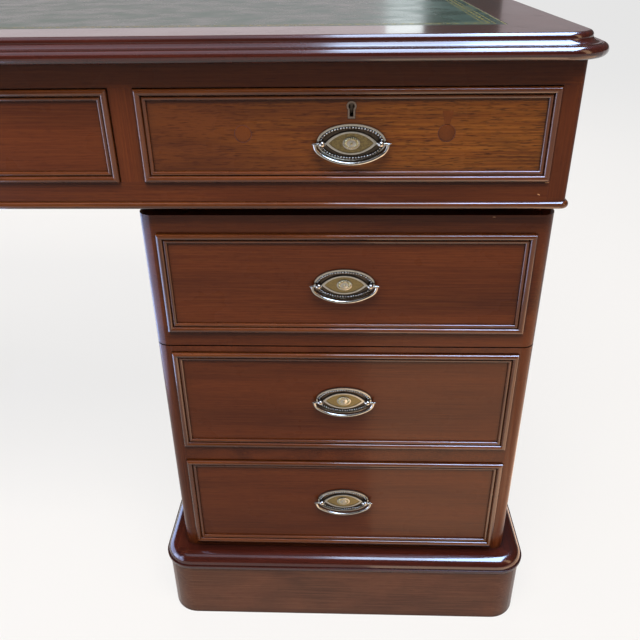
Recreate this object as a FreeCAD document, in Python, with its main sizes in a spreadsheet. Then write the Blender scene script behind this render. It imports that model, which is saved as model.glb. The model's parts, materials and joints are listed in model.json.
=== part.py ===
"""Twin-pedestal writing desk: moulded top with a leather inset, frieze, two pedestals and nine drawers.

Millimetres. +Z is up, +X runs along the desk to the right, the drawers open towards -Y.
The origin is on the floor, under the middle of the top.
"""
import FreeCAD, Part
import math
import os

import Sketcher
from FreeCAD import Placement, Rotation, Vector

# Driving dimensions of the desk, in millimetres. Each is one cell of the sheet.
SIZES = {
    # top
    "desk_height": 775.0,
    "top_width": 1600.0,
    "top_depth": 762.0,
    "top_thick": 21.8,
    "top_overhang": 22.0,
    "top_corner": 48.0,
    "veneer_thick": 1.5,
    "border_width": 65.5,
    "leather_thick": 1.2,
    # moulded edge of the top
    "nosing_width": 20.0,
    "nosing_shoulder": 4.8,
    "nosing_step": 0.7,
    "nosing_cove": 1.8,
    "nosing_round": 11.2,
    "nosing_foot": 3.3,
    # frieze
    "frieze_height": 144.2,
    "frieze_corner": 6.0,
    "frieze_end_thick": 20.0,
    "frieze_back_thick": 18.0,
    "frieze_top_rail": 24.2,
    "frieze_bottom_rail": 28.0,
    "frieze_rail_depth": 55.0,
    "muntin_width": 24.0,
    "centre_opening": 658.0,
    "frieze_rear_gap": 59.0,
    "bead_height": 7.4,
    "bead_out": 3.8,
    "bead_rise": 2.8,
    "runner_width": 20.0,
    "runner_thick": 20.0,
    # pedestals
    "pedestal_width": 443.0,
    "pedestal_inset": 1.0,
    "pedestal_setback": 15.5,
    "side_thick": 18.0,
    "stile_radius": 16.0,
    "back_corner": 3.0,
    "bottom_rail_show": 8.0,
    "base_sunk": 10.0,
    "bottom_opening_extra": 1.2,
    "lower_rail_thick": 22.5,
    "middle_opening_less": 3.3,
    "upper_rail_thick": 18.0,
    "upper_rail_show": 7.5,
    "rail_depth": 60.0,
    "case_top_thick": 18.0,
    "head_reveal": 12.8,
    "back_frame_thick": 20.0,
    "back_stile": 62.0,
    "back_panel_thick": 8.0,
    "back_groove": 8.0,
    "back_panel_clearance": 0.3,
    "pedestal_rear_gap": 56.0,
    # plinth
    "plinth_height": 91.0,
    "plinth_out": 24.5,
    "plinth_thick": 30.0,
    "plinth_radius": 36.0,
    "plinth_moulding_height": 18.5,
    "plinth_moulding_out": 28.0,
    "plinth_moulding_bearing": 8.0,
    "plinth_lip": 4.0,
    "plinth_round": 13.5,
    # drawers
    "front_thick": 22.0,
    "front_recess": 1.0,
    "front_gap": 0.7,
    "drawer_lift": 0.3,
    "side_board": 10.0,
    "side_drop": 4.0,
    "drawer_bottom_thick": 6.0,
    "drawer_bottom_rise": 10.0,
    "drawer_groove": 5.0,
    "drawer_back_thick": 10.0,
    "drawer_back_drop": 8.0,
    "dovetail_pitch": 34.0,
    "dovetail_length": 15.0,
    "dovetail_flare": 2.2,
    "dovetail_pin": 7.0,
    "housing_depth": 8.0,
    # full-width front of the top pedestal drawer
    "overlay_thick": 24.0,
    "overlay_clearance": 0.3,
    "overlay_joint_gap": 1.6,
    "overlay_foot": 19.1,
    "overlay_head": 20.6,
    "overlay_margin": 18.5,
    # moulding planted on the drawer fronts
    "moulding_width": 11.0,
    "moulding_edge": 3.4,
    "moulding_bead_rise": 2.9,
    "moulding_bead_end": 6.6,
    "moulding_quirk": 2.0,
    "moulding_inner_rise": 1.7,
    "moulding_inner_edge": 1.0,
    # handles
    "plate_width": 67.4,
    "plate_height": 36.6,
    "plate_thick": 1.2,
    "plate_rim_width": 2.0,
    "plate_rim_height": 1.1,
    "boss_length": 50.6,
    "boss_height": 22.4,
    "boss_rise": 1.9,
    "boss_rim": 1.5,
    "boss_dish": 0.6,
    "rosette_width": 16.8,
    "rosette_height": 12.4,
    "rosette_edge": 0.5,
    "rosette_crown": 1.2,
    "post_spacing": 57.0,
    "post_reach": 6.6,
    "post_radius": 2.0,
    "post_ball": 3.2,
    "post_hole_clearance": 0.2,
    "nut_radius": 5.0,
    "nut_height": 3.5,
    "bail_half_width": 35.6,
    "bail_drop": 19.2,
    "bail_shoulder": 12.0,
    "bail_wire": 1.75,
    "bail_pin": 1.25,
    "bail_pin_clearance": 0.05,
    "bail_pin_end": 0.6,
    "bail_tip_length": 4.6,
    "bail_tip_radius": 0.5,
    "frieze_handle_drop": 6.6,
    "frieze_handle_shift": 6.0,
    "top_handle_rise": 0.6,
    "middle_handle_rise": 2.8,
    "bottom_handle_rise": 5.6,
    # locks of the frieze drawers
    "lock_width": 44.0,
    "lock_height": 32.0,
    "lock_thick": 11.0,
    "selvedge_width": 64.0,
    "selvedge_thick": 2.0,
    "bolt_width": 14.0,
    "bolt_thick": 5.0,
    "bolt_height": 22.0,
    "bolt_clearance": 0.3,
    "bolt_throw": 6.0,
    "bolt_mortise_clearance": 1.0,
    "key_pin_depth": 17.4,
    "keyhole_radius": 3.0,
    "keyhole_slot": 3.6,
    "keyhole_tail": 9.8,
    "escutcheon_rim": 1.7,
    "escutcheon_depth": 2.0,
    "escutcheon_proud": 0.5,
    # fits, and how far a hole or recess is cut past the face it starts from
    "base_clearance": 0.3,
    "nut_clearance": 0.05,
    "overcut": 2.0,
}

COS_45 = math.sqrt(0.5)

# A profile across a front member: inwards is +Y, up is +Z.
ACROSS_FRONT = Rotation(Vector(0, 1, 0), Vector(0, 0, 1), Vector(1, 0, 0), "XYZ")
# A profile across a right-hand member: inwards is -X, up is +Z.
ACROSS_RIGHT = Rotation(Vector(-1, 0, 0), Vector(0, 0, 1), Vector(0, 1, 0), "XYZ")
# A profile across an upright moulding of a drawer front: inwards is -X, out of the face is -Y.
ACROSS_UPRIGHT = Rotation(Vector(-1, 0, 0), Vector(0, -1, 0), Vector(0, 0, 1), "XYZ")
# A profile across a level moulding of a drawer front: inwards is -Z, out of the face is -Y.
ACROSS_LEVEL = Rotation(Vector(0, 0, -1), Vector(0, -1, 0), Vector(-1, 0, 0), "XYZ")
# A shape drawn on a drawer front: right is +X, up is +Z, and it rises towards -Y.
ON_FRONT = Rotation(Vector(1, 0, 0), 90)
ALONG_X = Rotation(Vector(0, 1, 0), 90)
ALONG_MINUS_X = Rotation(Vector(0, 1, 0), -90)
LEVEL = Rotation()


class Size:
    """A length that remembers the sheet expression it comes from."""

    def __init__(self, value, text):
        self.value = value
        self.text = text

    def __add__(self, other):
        other = as_size(other)
        return Size(self.value + other.value, f"({self.text} + {other.text})")

    def __sub__(self, other):
        other = as_size(other)
        return Size(self.value - other.value, f"({self.text} - {other.text})")

    def __mul__(self, factor):
        factor = as_size(factor)
        return Size(self.value * factor.value, f"({self.text} * {factor.text})")

    def __truediv__(self, divisor):
        divisor = as_size(divisor)
        return Size(self.value / divisor.value, f"({self.text} / {divisor.text})")

    def __neg__(self):
        return Size(-self.value, f"(0 - {self.text})")

    def root(self):
        return Size(math.sqrt(self.value), f"sqrt({self.text})")


def as_size(number):
    if isinstance(number, Size):
        return number
    return Size(float(number), f"({float(number)!r})")


class Sheet:
    """The spreadsheet of driving dimensions, read as sizes by name."""

    def __init__(self, document):
        self.cells = document.addObject("Spreadsheet::Sheet", "dims")
        for row, (name, value) in enumerate(SIZES.items(), start=1):
            self.cells.set(f"A{row}", name)
            self.cells.set(f"B{row}", str(value))
            self.cells.setAlias(f"B{row}", name)
        document.recompute()

    def __getattr__(self, name):
        return Size(float(getattr(self.cells, name)), f"dims.{name}")


doc = FreeCAD.newDocument("pedestal_desk")
size = Sheet(doc)
ZERO = as_size(0)
nodes = []


def bind(obj, **properties):
    """Tie properties of an object to sheet expressions."""
    for name, value in properties.items():
        obj.setExpression(name, as_size(value).text)


def place(obj, at, rotation=LEVEL):
    at = [as_size(value) for value in at]
    obj.Placement = Placement(Vector(*[value.value for value in at]), rotation)
    for axis, value in zip("xyz", at):
        obj.setExpression(f"Placement.Base.{axis}", value.text)


def block(label, x_span, y_span, z_span):
    """A board between two corners."""
    board = doc.addObject("Part::Box", label)
    lows = [as_size(span[0]) for span in (x_span, y_span, z_span)]
    lengths = [as_size(span[1]) - low for span, low in zip((x_span, y_span, z_span), lows)]
    bind(board, Length=lengths[0], Width=lengths[1], Height=lengths[2])
    place(board, lows)
    return board


def rod(label, radius, length, at, rotation=LEVEL):
    turned = doc.addObject("Part::Cylinder", label)
    bind(turned, Radius=radius, Height=length)
    place(turned, at, rotation)
    return turned


def cut(label, base, *tools):
    for tool in tools:
        result = doc.addObject("Part::Cut", label)
        result.Base = base
        result.Tool = tool
        base = result
    return base


def common(label, first, second):
    result = doc.addObject("Part::Common", label)
    result.Base = first
    result.Tool = second
    return result


def fuse(label, *pieces):
    result = doc.addObject("Part::MultiFuse", label)
    result.Shapes = list(pieces)
    return result


def mirror(label, source, normal, through=ZERO):
    """The same piece on the other side of a plane square to X, Y or Z."""
    result = doc.addObject("Part::Mirroring", label)
    result.Source = source
    result.Normal = normal
    axis = "xyz"[[abs(part) for part in normal].index(1)]
    result.setExpression(f"Base.{axis}", as_size(through).text)
    return result


def extrude(label, outline, length):
    """A prism raised from a flat outline along its own normal."""
    result = doc.addObject("Part::Extrusion", label)
    result.Base = outline
    result.DirMode = "Custom"
    result.Dir = outline.Placement.Rotation.multVec(Vector(0, 0, 1))
    result.Solid = True
    bind(result, LengthFwd=length)
    return result


def round_edges(label, base, radius, chosen):
    """Round the straight upright edges of a board that stand where chosen says."""
    doc.recompute()
    result = doc.addObject("Part::Fillet", label)
    result.Base = base
    edges = []
    for number, edge in enumerate(base.Shape.Edges, start=1):
        first, last = [vertex.Point for vertex in edge.Vertexes]
        if abs(abs(first.z - last.z) - edge.Length) < 1e-6 and chosen(first):
            edges.append((number, radius.value, radius.value))
    result.Edges = edges
    return result


def group(label, pieces):
    """One node of the desk made of separate solids."""
    node = doc.addObject("Part::Compound", label)
    node.Links = list(pieces)
    node.Label = label
    nodes.append(node)
    return node


def arc_between(start, end, radius):
    """The shorter arc from start to end, bulging right of the way if radius < 0 and left of it otherwise.

    A sketch keeps every arc anticlockwise, so the second value says whether it runs from start to end.
    """
    forwards = radius < 0
    first, last = (start, end) if forwards else (end, start)
    chord = last - first
    height = math.sqrt(max(radius * radius - chord.Length ** 2 / 4, 0.0))
    centre = (first + last) / 2 + Vector(-chord.y, chord.x, 0).normalize() * height
    angles = [math.atan2(point.y - centre.y, point.x - centre.x) for point in (first, last)]
    circle = Part.Circle(centre, Vector(0, 0, 1), abs(radius))
    return Part.ArcOfCircle(circle, *angles), forwards


def bulge(start, end, rise):
    """The radius of the arc that stands this high above the chord from start to end."""
    across, up = as_size(end[0]) - start[0], as_size(end[1]) - start[1]
    quarter = (across * across + up * up) / 4
    return (quarter + rise * rise) / (rise * 2)


def outline(label, at, rotation, corners, closed=True):
    """A sketch through corners (u, v) or, at the end of an arc, (u, v, radius), all tied to the sheet."""
    sketch = doc.addObject("Sketcher::SketchObject", label)
    place(sketch, at, rotation)
    corners = [[as_size(value) for value in corner] for corner in corners]
    points = [Vector(corner[0].value, corner[1].value, 0) for corner in corners]
    last = len(corners) if closed else len(corners) - 1
    ends = []
    fixed = []
    for number in range(last):
        target = corners[(number + 1) % len(corners)]
        start, end = points[number], points[(number + 1) % len(points)]
        if len(target) == 2:
            sketch.addGeometry(Part.LineSegment(start, end), False)
            ends.append((1, 2))
            continue
        arc, forwards = arc_between(start, end, target[2].value)
        sketch.addGeometry(arc, False)
        ends.append((1, 2) if forwards else (2, 1))
        fixed.append((Sketcher.Constraint("Radius", number, abs(target[2].value)), target[2]))
    for number in range(last):
        follower = (number + 1) % last
        if closed or number + 1 < last:
            sketch.addConstraint(
                Sketcher.Constraint("Coincident", number, ends[number][1], follower, ends[follower][0]))
    held = [(number, ends[number][0], corners[number]) for number in range(last)]
    if not closed:
        held.append((last - 1, ends[last - 1][1], corners[last]))
    for number, end, corner in held:
        for kind, value in (("DistanceX", corner[0]), ("DistanceY", corner[1])):
            fixed.append((Sketcher.Constraint(kind, -1, 1, number, end, value.value), value))
    for constraint, value in fixed:
        index = sketch.addConstraint(constraint)
        text = f"abs({value.text})" if constraint.Type == "Radius" else value.text
        sketch.setExpression(f"Constraints[{index}]", text)
    return sketch


def ring(label, profile, middle, half_width, half_depth, radius, level):
    """Four mitred members of one profile round a rectangle with rounded corners.

    The profile is a list of corners (inwards from the rectangle, up from the level).
    """
    middle_x, middle_y = middle
    skew = radius * (1 - COS_45)
    front_y = middle_y - half_depth
    right_x = middle_x + half_width
    front_path = outline(f"{label}_front_path", (middle_x, front_y, level), LEVEL, [
        (skew - half_width, skew),
        (radius - half_width, ZERO, -radius),
        (half_width - radius, ZERO),
        (half_width - skew, skew, -radius)], closed=False)
    right_path = outline(f"{label}_right_path", (right_x, middle_y, level), LEVEL, [
        (-skew, skew - half_depth),
        (ZERO, radius - half_depth, -radius),
        (ZERO, half_depth - radius),
        (-skew, half_depth - skew, -radius)], closed=False)
    members = []
    for side, path, at, turn, normal, through in (
            ("front", front_path, (middle_x, front_y, level), ACROSS_FRONT, (0, 1, 0), middle_y),
            ("right", right_path, (right_x, middle_y, level), ACROSS_RIGHT, (1, 0, 0), middle_x)):
        section = outline(f"{label}_{side}_section", at, turn, profile)
        member = doc.addObject("Part::Sweep", f"{label}_{side}")
        member.Sections = [section]
        member.Spine = (path, ["Edge1", "Edge2", "Edge3"])
        member.Solid = True
        members += [member, mirror(f"{label}_{side}_opposite", member, normal, through)]
    return members


# Levels and outlines that several pieces share.
top_x = size.top_width / 2
top_y = size.top_depth / 2
top_underside = size.desk_height - size.top_thick
ground_level = size.desk_height - size.veneer_thick
frieze_x = top_x - size.top_overhang
frieze_y = top_y - size.top_overhang
frieze_bottom = top_underside - size.frieze_height
frieze_sill = frieze_bottom + size.frieze_bottom_rail
frieze_head = top_underside - size.frieze_top_rail
frieze_inside_x = frieze_x - size.frieze_end_thick
frieze_inside_back = frieze_y - size.frieze_back_thick
divider_inner = size.centre_opening / 2
divider_outer = divider_inner + size.muntin_width

pedestal_right = frieze_x - size.pedestal_inset
pedestal_left = pedestal_right - size.pedestal_width
pedestal_middle = pedestal_right - size.pedestal_width / 2
pedestal_y = frieze_y - size.pedestal_setback
opening_left = pedestal_left + size.side_thick
opening_right = pedestal_right - size.side_thick
pedestal_inside_back = pedestal_y - size.back_frame_thick
case_bottom = size.plinth_height + size.plinth_moulding_height
bottom_sill = case_bottom + size.bottom_rail_show
case_top_bottom = frieze_bottom - size.case_top_thick
# The three drawers of a pedestal share the height between its boards.
drawer_room = (case_top_bottom - bottom_sill - size.lower_rail_thick - size.upper_rail_thick) / 3
lower_rail_bottom = bottom_sill + drawer_room + size.bottom_opening_extra
middle_sill = lower_rail_bottom + size.lower_rail_thick
upper_rail_bottom = middle_sill + drawer_room - size.middle_opening_less
overlay_joint = upper_rail_bottom + size.upper_rail_show
top_sill = upper_rail_bottom + size.upper_rail_thick
overlay_back = -pedestal_y + size.overlay_thick
case_front = overlay_back + size.overlay_clearance


def make_top():
    ground_x = top_x - size.nosing_width
    ground_y = top_y - size.nosing_width
    leather_x = ground_x - size.border_width
    leather_y = ground_y - size.border_width
    corner = size.top_corner - size.nosing_width

    board = block("ground_board", (-ground_x, ground_x), (-ground_y, ground_y), (top_underside, ground_level))
    group("top_panel", [round_edges("ground_rounded", board, corner, lambda point: True)])

    leather_top = ground_level + size.leather_thick
    group("leather_inset", [
        block("leather", (-leather_x, leather_x), (-leather_y, leather_y), (ground_level, leather_top))])

    sheet = block(
        "border_sheet", (-ground_x, ground_x), (-ground_y, ground_y), (ground_level, size.desk_height))
    sheet = round_edges("border_rounded", sheet, corner, lambda point: True)
    front = outline("border_front_plan", (ZERO, ZERO, ground_level), LEVEL, [
        (-ground_x, -ground_y), (ground_x, -ground_y), (leather_x, -leather_y), (-leather_x, -leather_y)])
    right = outline("border_right_plan", (ZERO, ZERO, ground_level), LEVEL, [
        (ground_x, -ground_y), (ground_x, ground_y), (leather_x, leather_y), (leather_x, -leather_y)])
    borders = []
    for side, plan, normal in (("front", front, (0, 1, 0)), ("right", right, (1, 0, 0))):
        prism = extrude(f"border_{side}_prism", plan, size.veneer_thick)
        border = common(f"border_{side}", prism, sheet)
        borders += [border, mirror(f"border_{side}_opposite", border, normal)]
    group("top_border", borders)

    # Edge moulding: an ovolo, a wide cove and a round below them, parted by narrow steps.
    step, round_top = size.nosing_step, size.nosing_round
    shoulder = size.nosing_width - size.nosing_shoulder
    shoulder_low = size.top_thick - size.nosing_shoulder
    # The round is level at its top, upright at the widest line and cut off at the foot.
    round_radius = size.nosing_foot + round_top - (size.nosing_foot * round_top * 2).root()
    cove_head = (shoulder, shoulder_low - step)
    cove_foot = (round_radius + step, round_top + step)
    profile = [
        (size.nosing_width, ZERO),
        (size.nosing_width, size.top_thick),
        (shoulder, shoulder_low, -size.nosing_shoulder),
        cove_head,
        (*cove_foot, bulge(cove_head, cove_foot, size.nosing_cove)),
        (round_radius + step, round_top),
        (round_radius, round_top),
        (size.nosing_foot, ZERO, -round_radius)]
    group("top_nosing", ring(
        "nosing", profile, (ZERO, ZERO), top_x, top_y, size.top_corner, top_underside))


def make_frieze():
    rail_back = -frieze_y + size.frieze_rail_depth
    top_rail = block(
        "top_rail_board", (-frieze_x, frieze_x), (-frieze_y, rail_back), (frieze_head, top_underside))
    end = block(
        "end_board", (frieze_inside_x, frieze_x), (-frieze_y, frieze_y), (frieze_bottom, top_underside))
    end = round_edges(
        "end_rounded", end, size.frieze_corner, lambda point: point.x > frieze_inside_x.value + 1)
    end = cut("end_lapped", end, top_rail)
    group("frieze_ends", [end, mirror("end_opposite", end, (1, 0, 0))])

    rounded_rail = round_edges(
        "top_rail_rounded", top_rail, size.frieze_corner,
        lambda point: point.y < rail_back.value - 1)
    mortised_rail = cut("top_rail", rounded_rail, *[bolt_mortise(middle) for middle in lock_middles()])
    bottom_rail = block(
        "bottom_rail", (-frieze_inside_x, frieze_inside_x), (-frieze_y, rail_back),
        (frieze_bottom, frieze_sill))
    divider = block(
        "divider", (divider_inner, divider_outer), (-frieze_y, frieze_inside_back),
        (frieze_sill, frieze_head))
    other_divider = mirror("divider_opposite", divider, (1, 0, 0))
    group("frieze_front_frame", [mortised_rail, bottom_rail, divider, other_divider])

    group("frieze_back", [block(
        "back_board", (-frieze_inside_x, frieze_inside_x), (frieze_inside_back, frieze_y),
        (frieze_bottom, top_underside))])

    runners = []
    for name, low, high in (
            ("runner", frieze_sill - size.runner_thick, frieze_sill),
            ("kicker", frieze_head, top_underside)):
        end_strip = block(
            f"end_{name}", (frieze_inside_x - size.runner_width, frieze_inside_x),
            (rail_back, frieze_inside_back), (low, high))
        divider_strip = block(
            f"divider_{name}", (divider_inner - size.runner_width, divider_outer + size.runner_width),
            (rail_back, frieze_inside_back), (low, high))
        for strip in (end_strip, divider_strip):
            runners += [strip, mirror(f"{strip.Name}_opposite", strip, (1, 0, 0))]
    group("frieze_runners", runners)

    # Half-round bead on the bottom edge of the frieze, standing out from its face.
    flat = size.bead_rise - size.bead_out
    upper, lower = (flat, size.bead_height), (flat, ZERO)
    profile = [
        (ZERO, ZERO),
        (ZERO, size.bead_height),
        upper,
        (*lower, -bulge(upper, lower, size.bead_rise))]
    group("frieze_bead", ring(
        "bead", profile, (ZERO, ZERO), frieze_x, frieze_y, size.frieze_corner, frieze_bottom))


def make_pedestal():
    """The right-hand pedestal; its mirror image stands on the left."""
    front_room = block(
        "overlay_room", (pedestal_left, pedestal_right), (-pedestal_y, case_front),
        (overlay_joint, frieze_bottom))

    sides = []
    for name, span, outer_x in (
            ("outer", (opening_right, pedestal_right), pedestal_right),
            ("inner", (pedestal_left, opening_left), pedestal_left)):
        side = block(f"{name}_side", span, (-pedestal_y, pedestal_y), (case_bottom, frieze_bottom))
        is_outer = lambda point, line=outer_x.value: abs(point.x - line) < 1
        side = round_edges(
            f"{name}_side_stile", side, size.stile_radius, lambda point: is_outer(point) and point.y < 0)
        side = round_edges(
            f"{name}_side_back", side, size.back_corner, lambda point: is_outer(point) and point.y > 0
            and point.y > pedestal_y.value - 1)
        sides.append(cut(f"{name}_side_notched", side, front_room))
    right_group("pedestal_sides", sides)

    across = (opening_left, opening_right)
    rail_span = (-pedestal_y, -pedestal_y + size.rail_depth)
    upper_rail = block("upper_rail_board", across, rail_span, (upper_rail_bottom, top_sill))
    lower_rail = block("lower_rail", across, rail_span, (lower_rail_bottom, middle_sill))
    rails = [cut("upper_rail", upper_rail, front_room), lower_rail]
    for name, low, high in (
            ("upper", upper_rail_bottom, top_sill), ("lower", lower_rail_bottom, middle_sill)):
        runner = block(
            f"{name}_runner", (opening_left, opening_left + size.runner_width),
            (rail_span[1], pedestal_inside_back), (low, high))
        rails += [runner, mirror(f"{name}_runner_opposite", runner, (1, 0, 0), pedestal_middle)]
    right_group("pedestal_rails", rails)

    # The base board is rebated to drop inside the moulding that carries the carcass.
    inset = size.plinth_moulding_bearing + size.base_clearance
    tongue = block(
        "base_tongue_board", (pedestal_left + inset, pedestal_right - inset),
        (-pedestal_y + inset, pedestal_inside_back), (case_bottom - size.base_sunk, case_bottom))
    tongue_corner = size.plinth_radius - size.plinth_out - inset
    base = fuse(
        "base_board",
        block("base_top", across, (-pedestal_y, pedestal_inside_back), (case_bottom, bottom_sill)),
        round_edges("base_tongue", tongue, tongue_corner, lambda point: point.y < 0))
    case_top = block("case_top", across, (case_front, pedestal_inside_back), (case_top_bottom, frieze_bottom))
    right_group("pedestal_boards", [base, case_top])

    make_pedestal_back()
    make_plinth()


def make_pedestal_back():
    """Framed back: stiles and rails grooved for one panel."""
    depth = (pedestal_inside_back, pedestal_y)
    left, right = opening_left, opening_right
    low, high = case_bottom, frieze_bottom
    stile = size.back_stile
    panel_front = pedestal_inside_back + (size.back_frame_thick - size.back_panel_thick) / 2
    panels = []
    for name, inset in (("panel", stile - size.back_groove + size.back_panel_clearance),
                        ("groove", stile - size.back_groove)):
        panels.append(block(
            f"back_{name}", (left + inset, right - inset),
            (panel_front, panel_front + size.back_panel_thick), (low + inset, high - inset)))
    panel, groove = panels
    stile_board = block("back_stile", (left, left + stile), depth, (low, high))
    stile_board = cut("back_stile_grooved", stile_board, groove)
    frame = [panel, stile_board, mirror("back_stile_opposite", stile_board, (1, 0, 0), pedestal_middle)]
    for name, span in (("foot", (low, low + stile)), ("head", (high - stile, high))):
        rail = block(f"back_{name}_rail", (left + stile, right - stile), depth, span)
        frame.append(cut(f"back_{name}_grooved", rail, groove))
    right_group("pedestal_back", frame)


def make_plinth():
    middle = (pedestal_middle, ZERO)
    half_width = size.pedestal_width / 2
    board_profile = [
        (ZERO, ZERO), (size.plinth_thick, ZERO),
        (size.plinth_thick, size.plinth_height), (ZERO, size.plinth_height)]
    right_group("plinth_boards", ring(
        "plinth", board_profile, middle, half_width + size.plinth_out, pedestal_y + size.plinth_out,
        size.plinth_radius, ZERO))

    # Moulded member: an upright lip, then a quarter round up to a flat that carries the carcass.
    out = size.plinth_moulding_out
    width = out + size.plinth_moulding_bearing
    lip_top = size.plinth_moulding_height - size.plinth_round
    step = size.plinth_lip / 2
    moulding_profile = [
        (step, ZERO, -step),
        (width, ZERO),
        (width, size.plinth_moulding_height),
        (step + size.plinth_round, size.plinth_moulding_height),
        (step, lip_top, -size.plinth_round),
        (ZERO, lip_top),
        (ZERO, step)]
    radius = size.plinth_radius + size.plinth_moulding_out - size.plinth_out
    right_group("plinth_moulding", ring(
        "plinth_moulding", moulding_profile, middle, half_width + out, pedestal_y + out, radius,
        size.plinth_height))


def right_group(name, pieces):
    """A node of the right-hand half, and its mirror image as the left-hand node."""
    right = group(f"right_{name}", pieces)
    left = mirror(f"left_{name}", right, (1, 0, 0))
    left.Label = f"left_{name}"
    nodes.append(left)


def lock_middles():
    right = (divider_outer + frieze_inside_x) / 2 + size.frieze_handle_shift
    return [-right, ZERO, right]


def lock_back():
    """The plane of the back of a frieze drawer's front board."""
    return -frieze_y + size.front_recess + size.front_thick


def bolt_span():
    """Front and back faces of a lock bolt."""
    middle = lock_back() - size.lock_thick / 2
    return middle - size.bolt_thick / 2, middle + size.bolt_thick / 2


def bolt_mortise(middle):
    half = size.bolt_width / 2 + size.bolt_mortise_clearance
    front, back = bolt_span()
    return block(
        "bolt_mortise", (middle - half, middle + half),
        (front - size.bolt_mortise_clearance, back + size.bolt_mortise_clearance),
        (frieze_head, frieze_head + size.bolt_throw + size.bolt_mortise_clearance))


class Drawer:
    """The places that the pieces of one drawer share."""

    def __init__(self, name, middle, width, face, low, high):
        self.name = name
        self.middle = middle
        self.box_half = width / 2
        self.front_half = width / 2
        self.face = face
        self.front_back = face + size.front_thick
        self.low = low
        self.high = high
        self.box_low = low
        self.box_high = high - size.side_drop
        self.moulding = (low, high)
        self.moulding_half = width / 2
        self.handle = (middle, (low + high) / 2)


def make_moulding(drawer):
    """Four mitred strips of a bead, a quirk and a smaller bead, planted on the face."""
    wide = size.moulding_width
    edge = (ZERO, size.moulding_edge)
    quirk = (size.moulding_bead_end, size.moulding_quirk)
    inner = (wide, size.moulding_inner_edge)
    profile = [
        (ZERO, ZERO),
        edge,
        (*quirk, bulge(edge, quirk, size.moulding_bead_rise)),
        (*inner, bulge(quirk, inner, size.moulding_inner_rise)),
        (wide, ZERO)]
    low, high = drawer.moulding
    half = drawer.moulding_half
    middle_z = (low + high) / 2
    half_z = (high - low) / 2
    reach = size.moulding_edge + size.moulding_bead_rise
    strips = []
    level_section = outline(
        f"{drawer.name}_level_section", (drawer.middle + half, drawer.face, high), ACROSS_LEVEL, profile)
    level_bar = extrude(f"{drawer.name}_level_bar", level_section, half * 2)
    level_mitre = extrude(f"{drawer.name}_level_mitre", outline(
        f"{drawer.name}_level_plan", (drawer.middle, drawer.face, high), ON_FRONT,
        [(-half, ZERO), (wide - half, -wide), (half - wide, -wide), (half, ZERO)]), reach)
    upright_section = outline(
        f"{drawer.name}_upright_section", (drawer.middle + half, drawer.face, low), ACROSS_UPRIGHT, profile)
    upright_bar = extrude(f"{drawer.name}_upright_bar", upright_section, half_z * 2)
    upright_mitre = extrude(f"{drawer.name}_upright_mitre", outline(
        f"{drawer.name}_upright_plan", (drawer.middle + half, drawer.face, middle_z), ON_FRONT,
        [(ZERO, -half_z), (ZERO, half_z), (-wide, half_z - wide), (-wide, wide - half_z)]), reach)
    for name, bar, mitre, normal, through in (
            ("level", level_bar, level_mitre, (0, 0, 1), middle_z),
            ("upright", upright_bar, upright_mitre, (1, 0, 0), drawer.middle)):
        strip = common(f"{drawer.name}_{name}_strip", bar, mitre)
        strips += [strip, mirror(f"{drawer.name}_{name}_strip_opposite", strip, normal, through)]
    return strips


def dovetails(drawer, shoulder, tip, thick_span):
    """Tails along the end of a drawer side, from the shoulder line out to the tip."""
    height = drawer.box_high - drawer.box_low
    tails = max(round(height.value / size.dovetail_pitch.value), 1)
    pitch = height / tails
    wedges = []
    for number in range(tails):
        low = drawer.box_low + pitch * number + size.dovetail_pin / 2
        high = drawer.box_low + pitch * (number + 1) - size.dovetail_pin / 2
        wedge = doc.addObject("Part::Wedge", f"{drawer.name}_tail")
        bind(wedge, Xmin=thick_span[0], Xmax=thick_span[1], X2min=thick_span[0], X2max=thick_span[1],
             Ymin=shoulder, Ymax=tip,
             Zmin=low + size.dovetail_flare, Zmax=high - size.dovetail_flare, Z2min=low, Z2max=high)
        wedges.append(wedge)
    return wedges


def make_box(drawer, rear, housed):
    """Sides dovetailed to the front and back, and a bottom that slides into grooves."""
    outer = drawer.middle + drawer.box_half
    inner = outer - size.side_board
    bottom_low = drawer.box_low + size.drawer_bottom_rise
    bottom_high = bottom_low + size.drawer_bottom_thick
    half_bottom = drawer.box_half - size.side_board + size.drawer_groove
    bottom = block(
        f"{drawer.name}_bottom", (drawer.middle - half_bottom, drawer.middle + half_bottom),
        (drawer.front_back - size.drawer_groove, rear), (bottom_low, bottom_high))

    span = (inner, outer)
    shoulder = drawer.front_back
    if housed:
        shoulder = drawer.front_back - size.housing_depth
    side = block(
        f"{drawer.name}_side_board", span, (shoulder, rear - size.drawer_back_thick),
        (drawer.box_low, drawer.box_high))
    front_tails = []
    if not housed:
        front_tails = mirrored_tails(drawer, span)
    back_tails = dovetails(drawer, rear - size.drawer_back_thick, rear, span)
    side = fuse(f"{drawer.name}_side_tailed", side, *front_tails, *back_tails)
    side = cut(f"{drawer.name}_side", side, bottom)
    other_side = mirror(f"{drawer.name}_side_opposite", side, (1, 0, 0), drawer.middle)

    back = block(
        f"{drawer.name}_back_board", (drawer.middle - drawer.box_half, outer),
        (rear - size.drawer_back_thick, rear), (bottom_high, drawer.box_high - size.drawer_back_drop))
    back = cut(f"{drawer.name}_back", back, side, other_side)
    return [side, other_side, back, bottom]


def mirrored_tails(drawer, span):
    """Tails of the front end: the wedge shape turned to point towards the face."""
    plane = drawer.front_back
    behind = dovetails(drawer, plane, plane + size.dovetail_length, span)
    return [mirror(f"{drawer.name}_front_tail", tail, (0, 1, 0), plane) for tail in behind]


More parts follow.
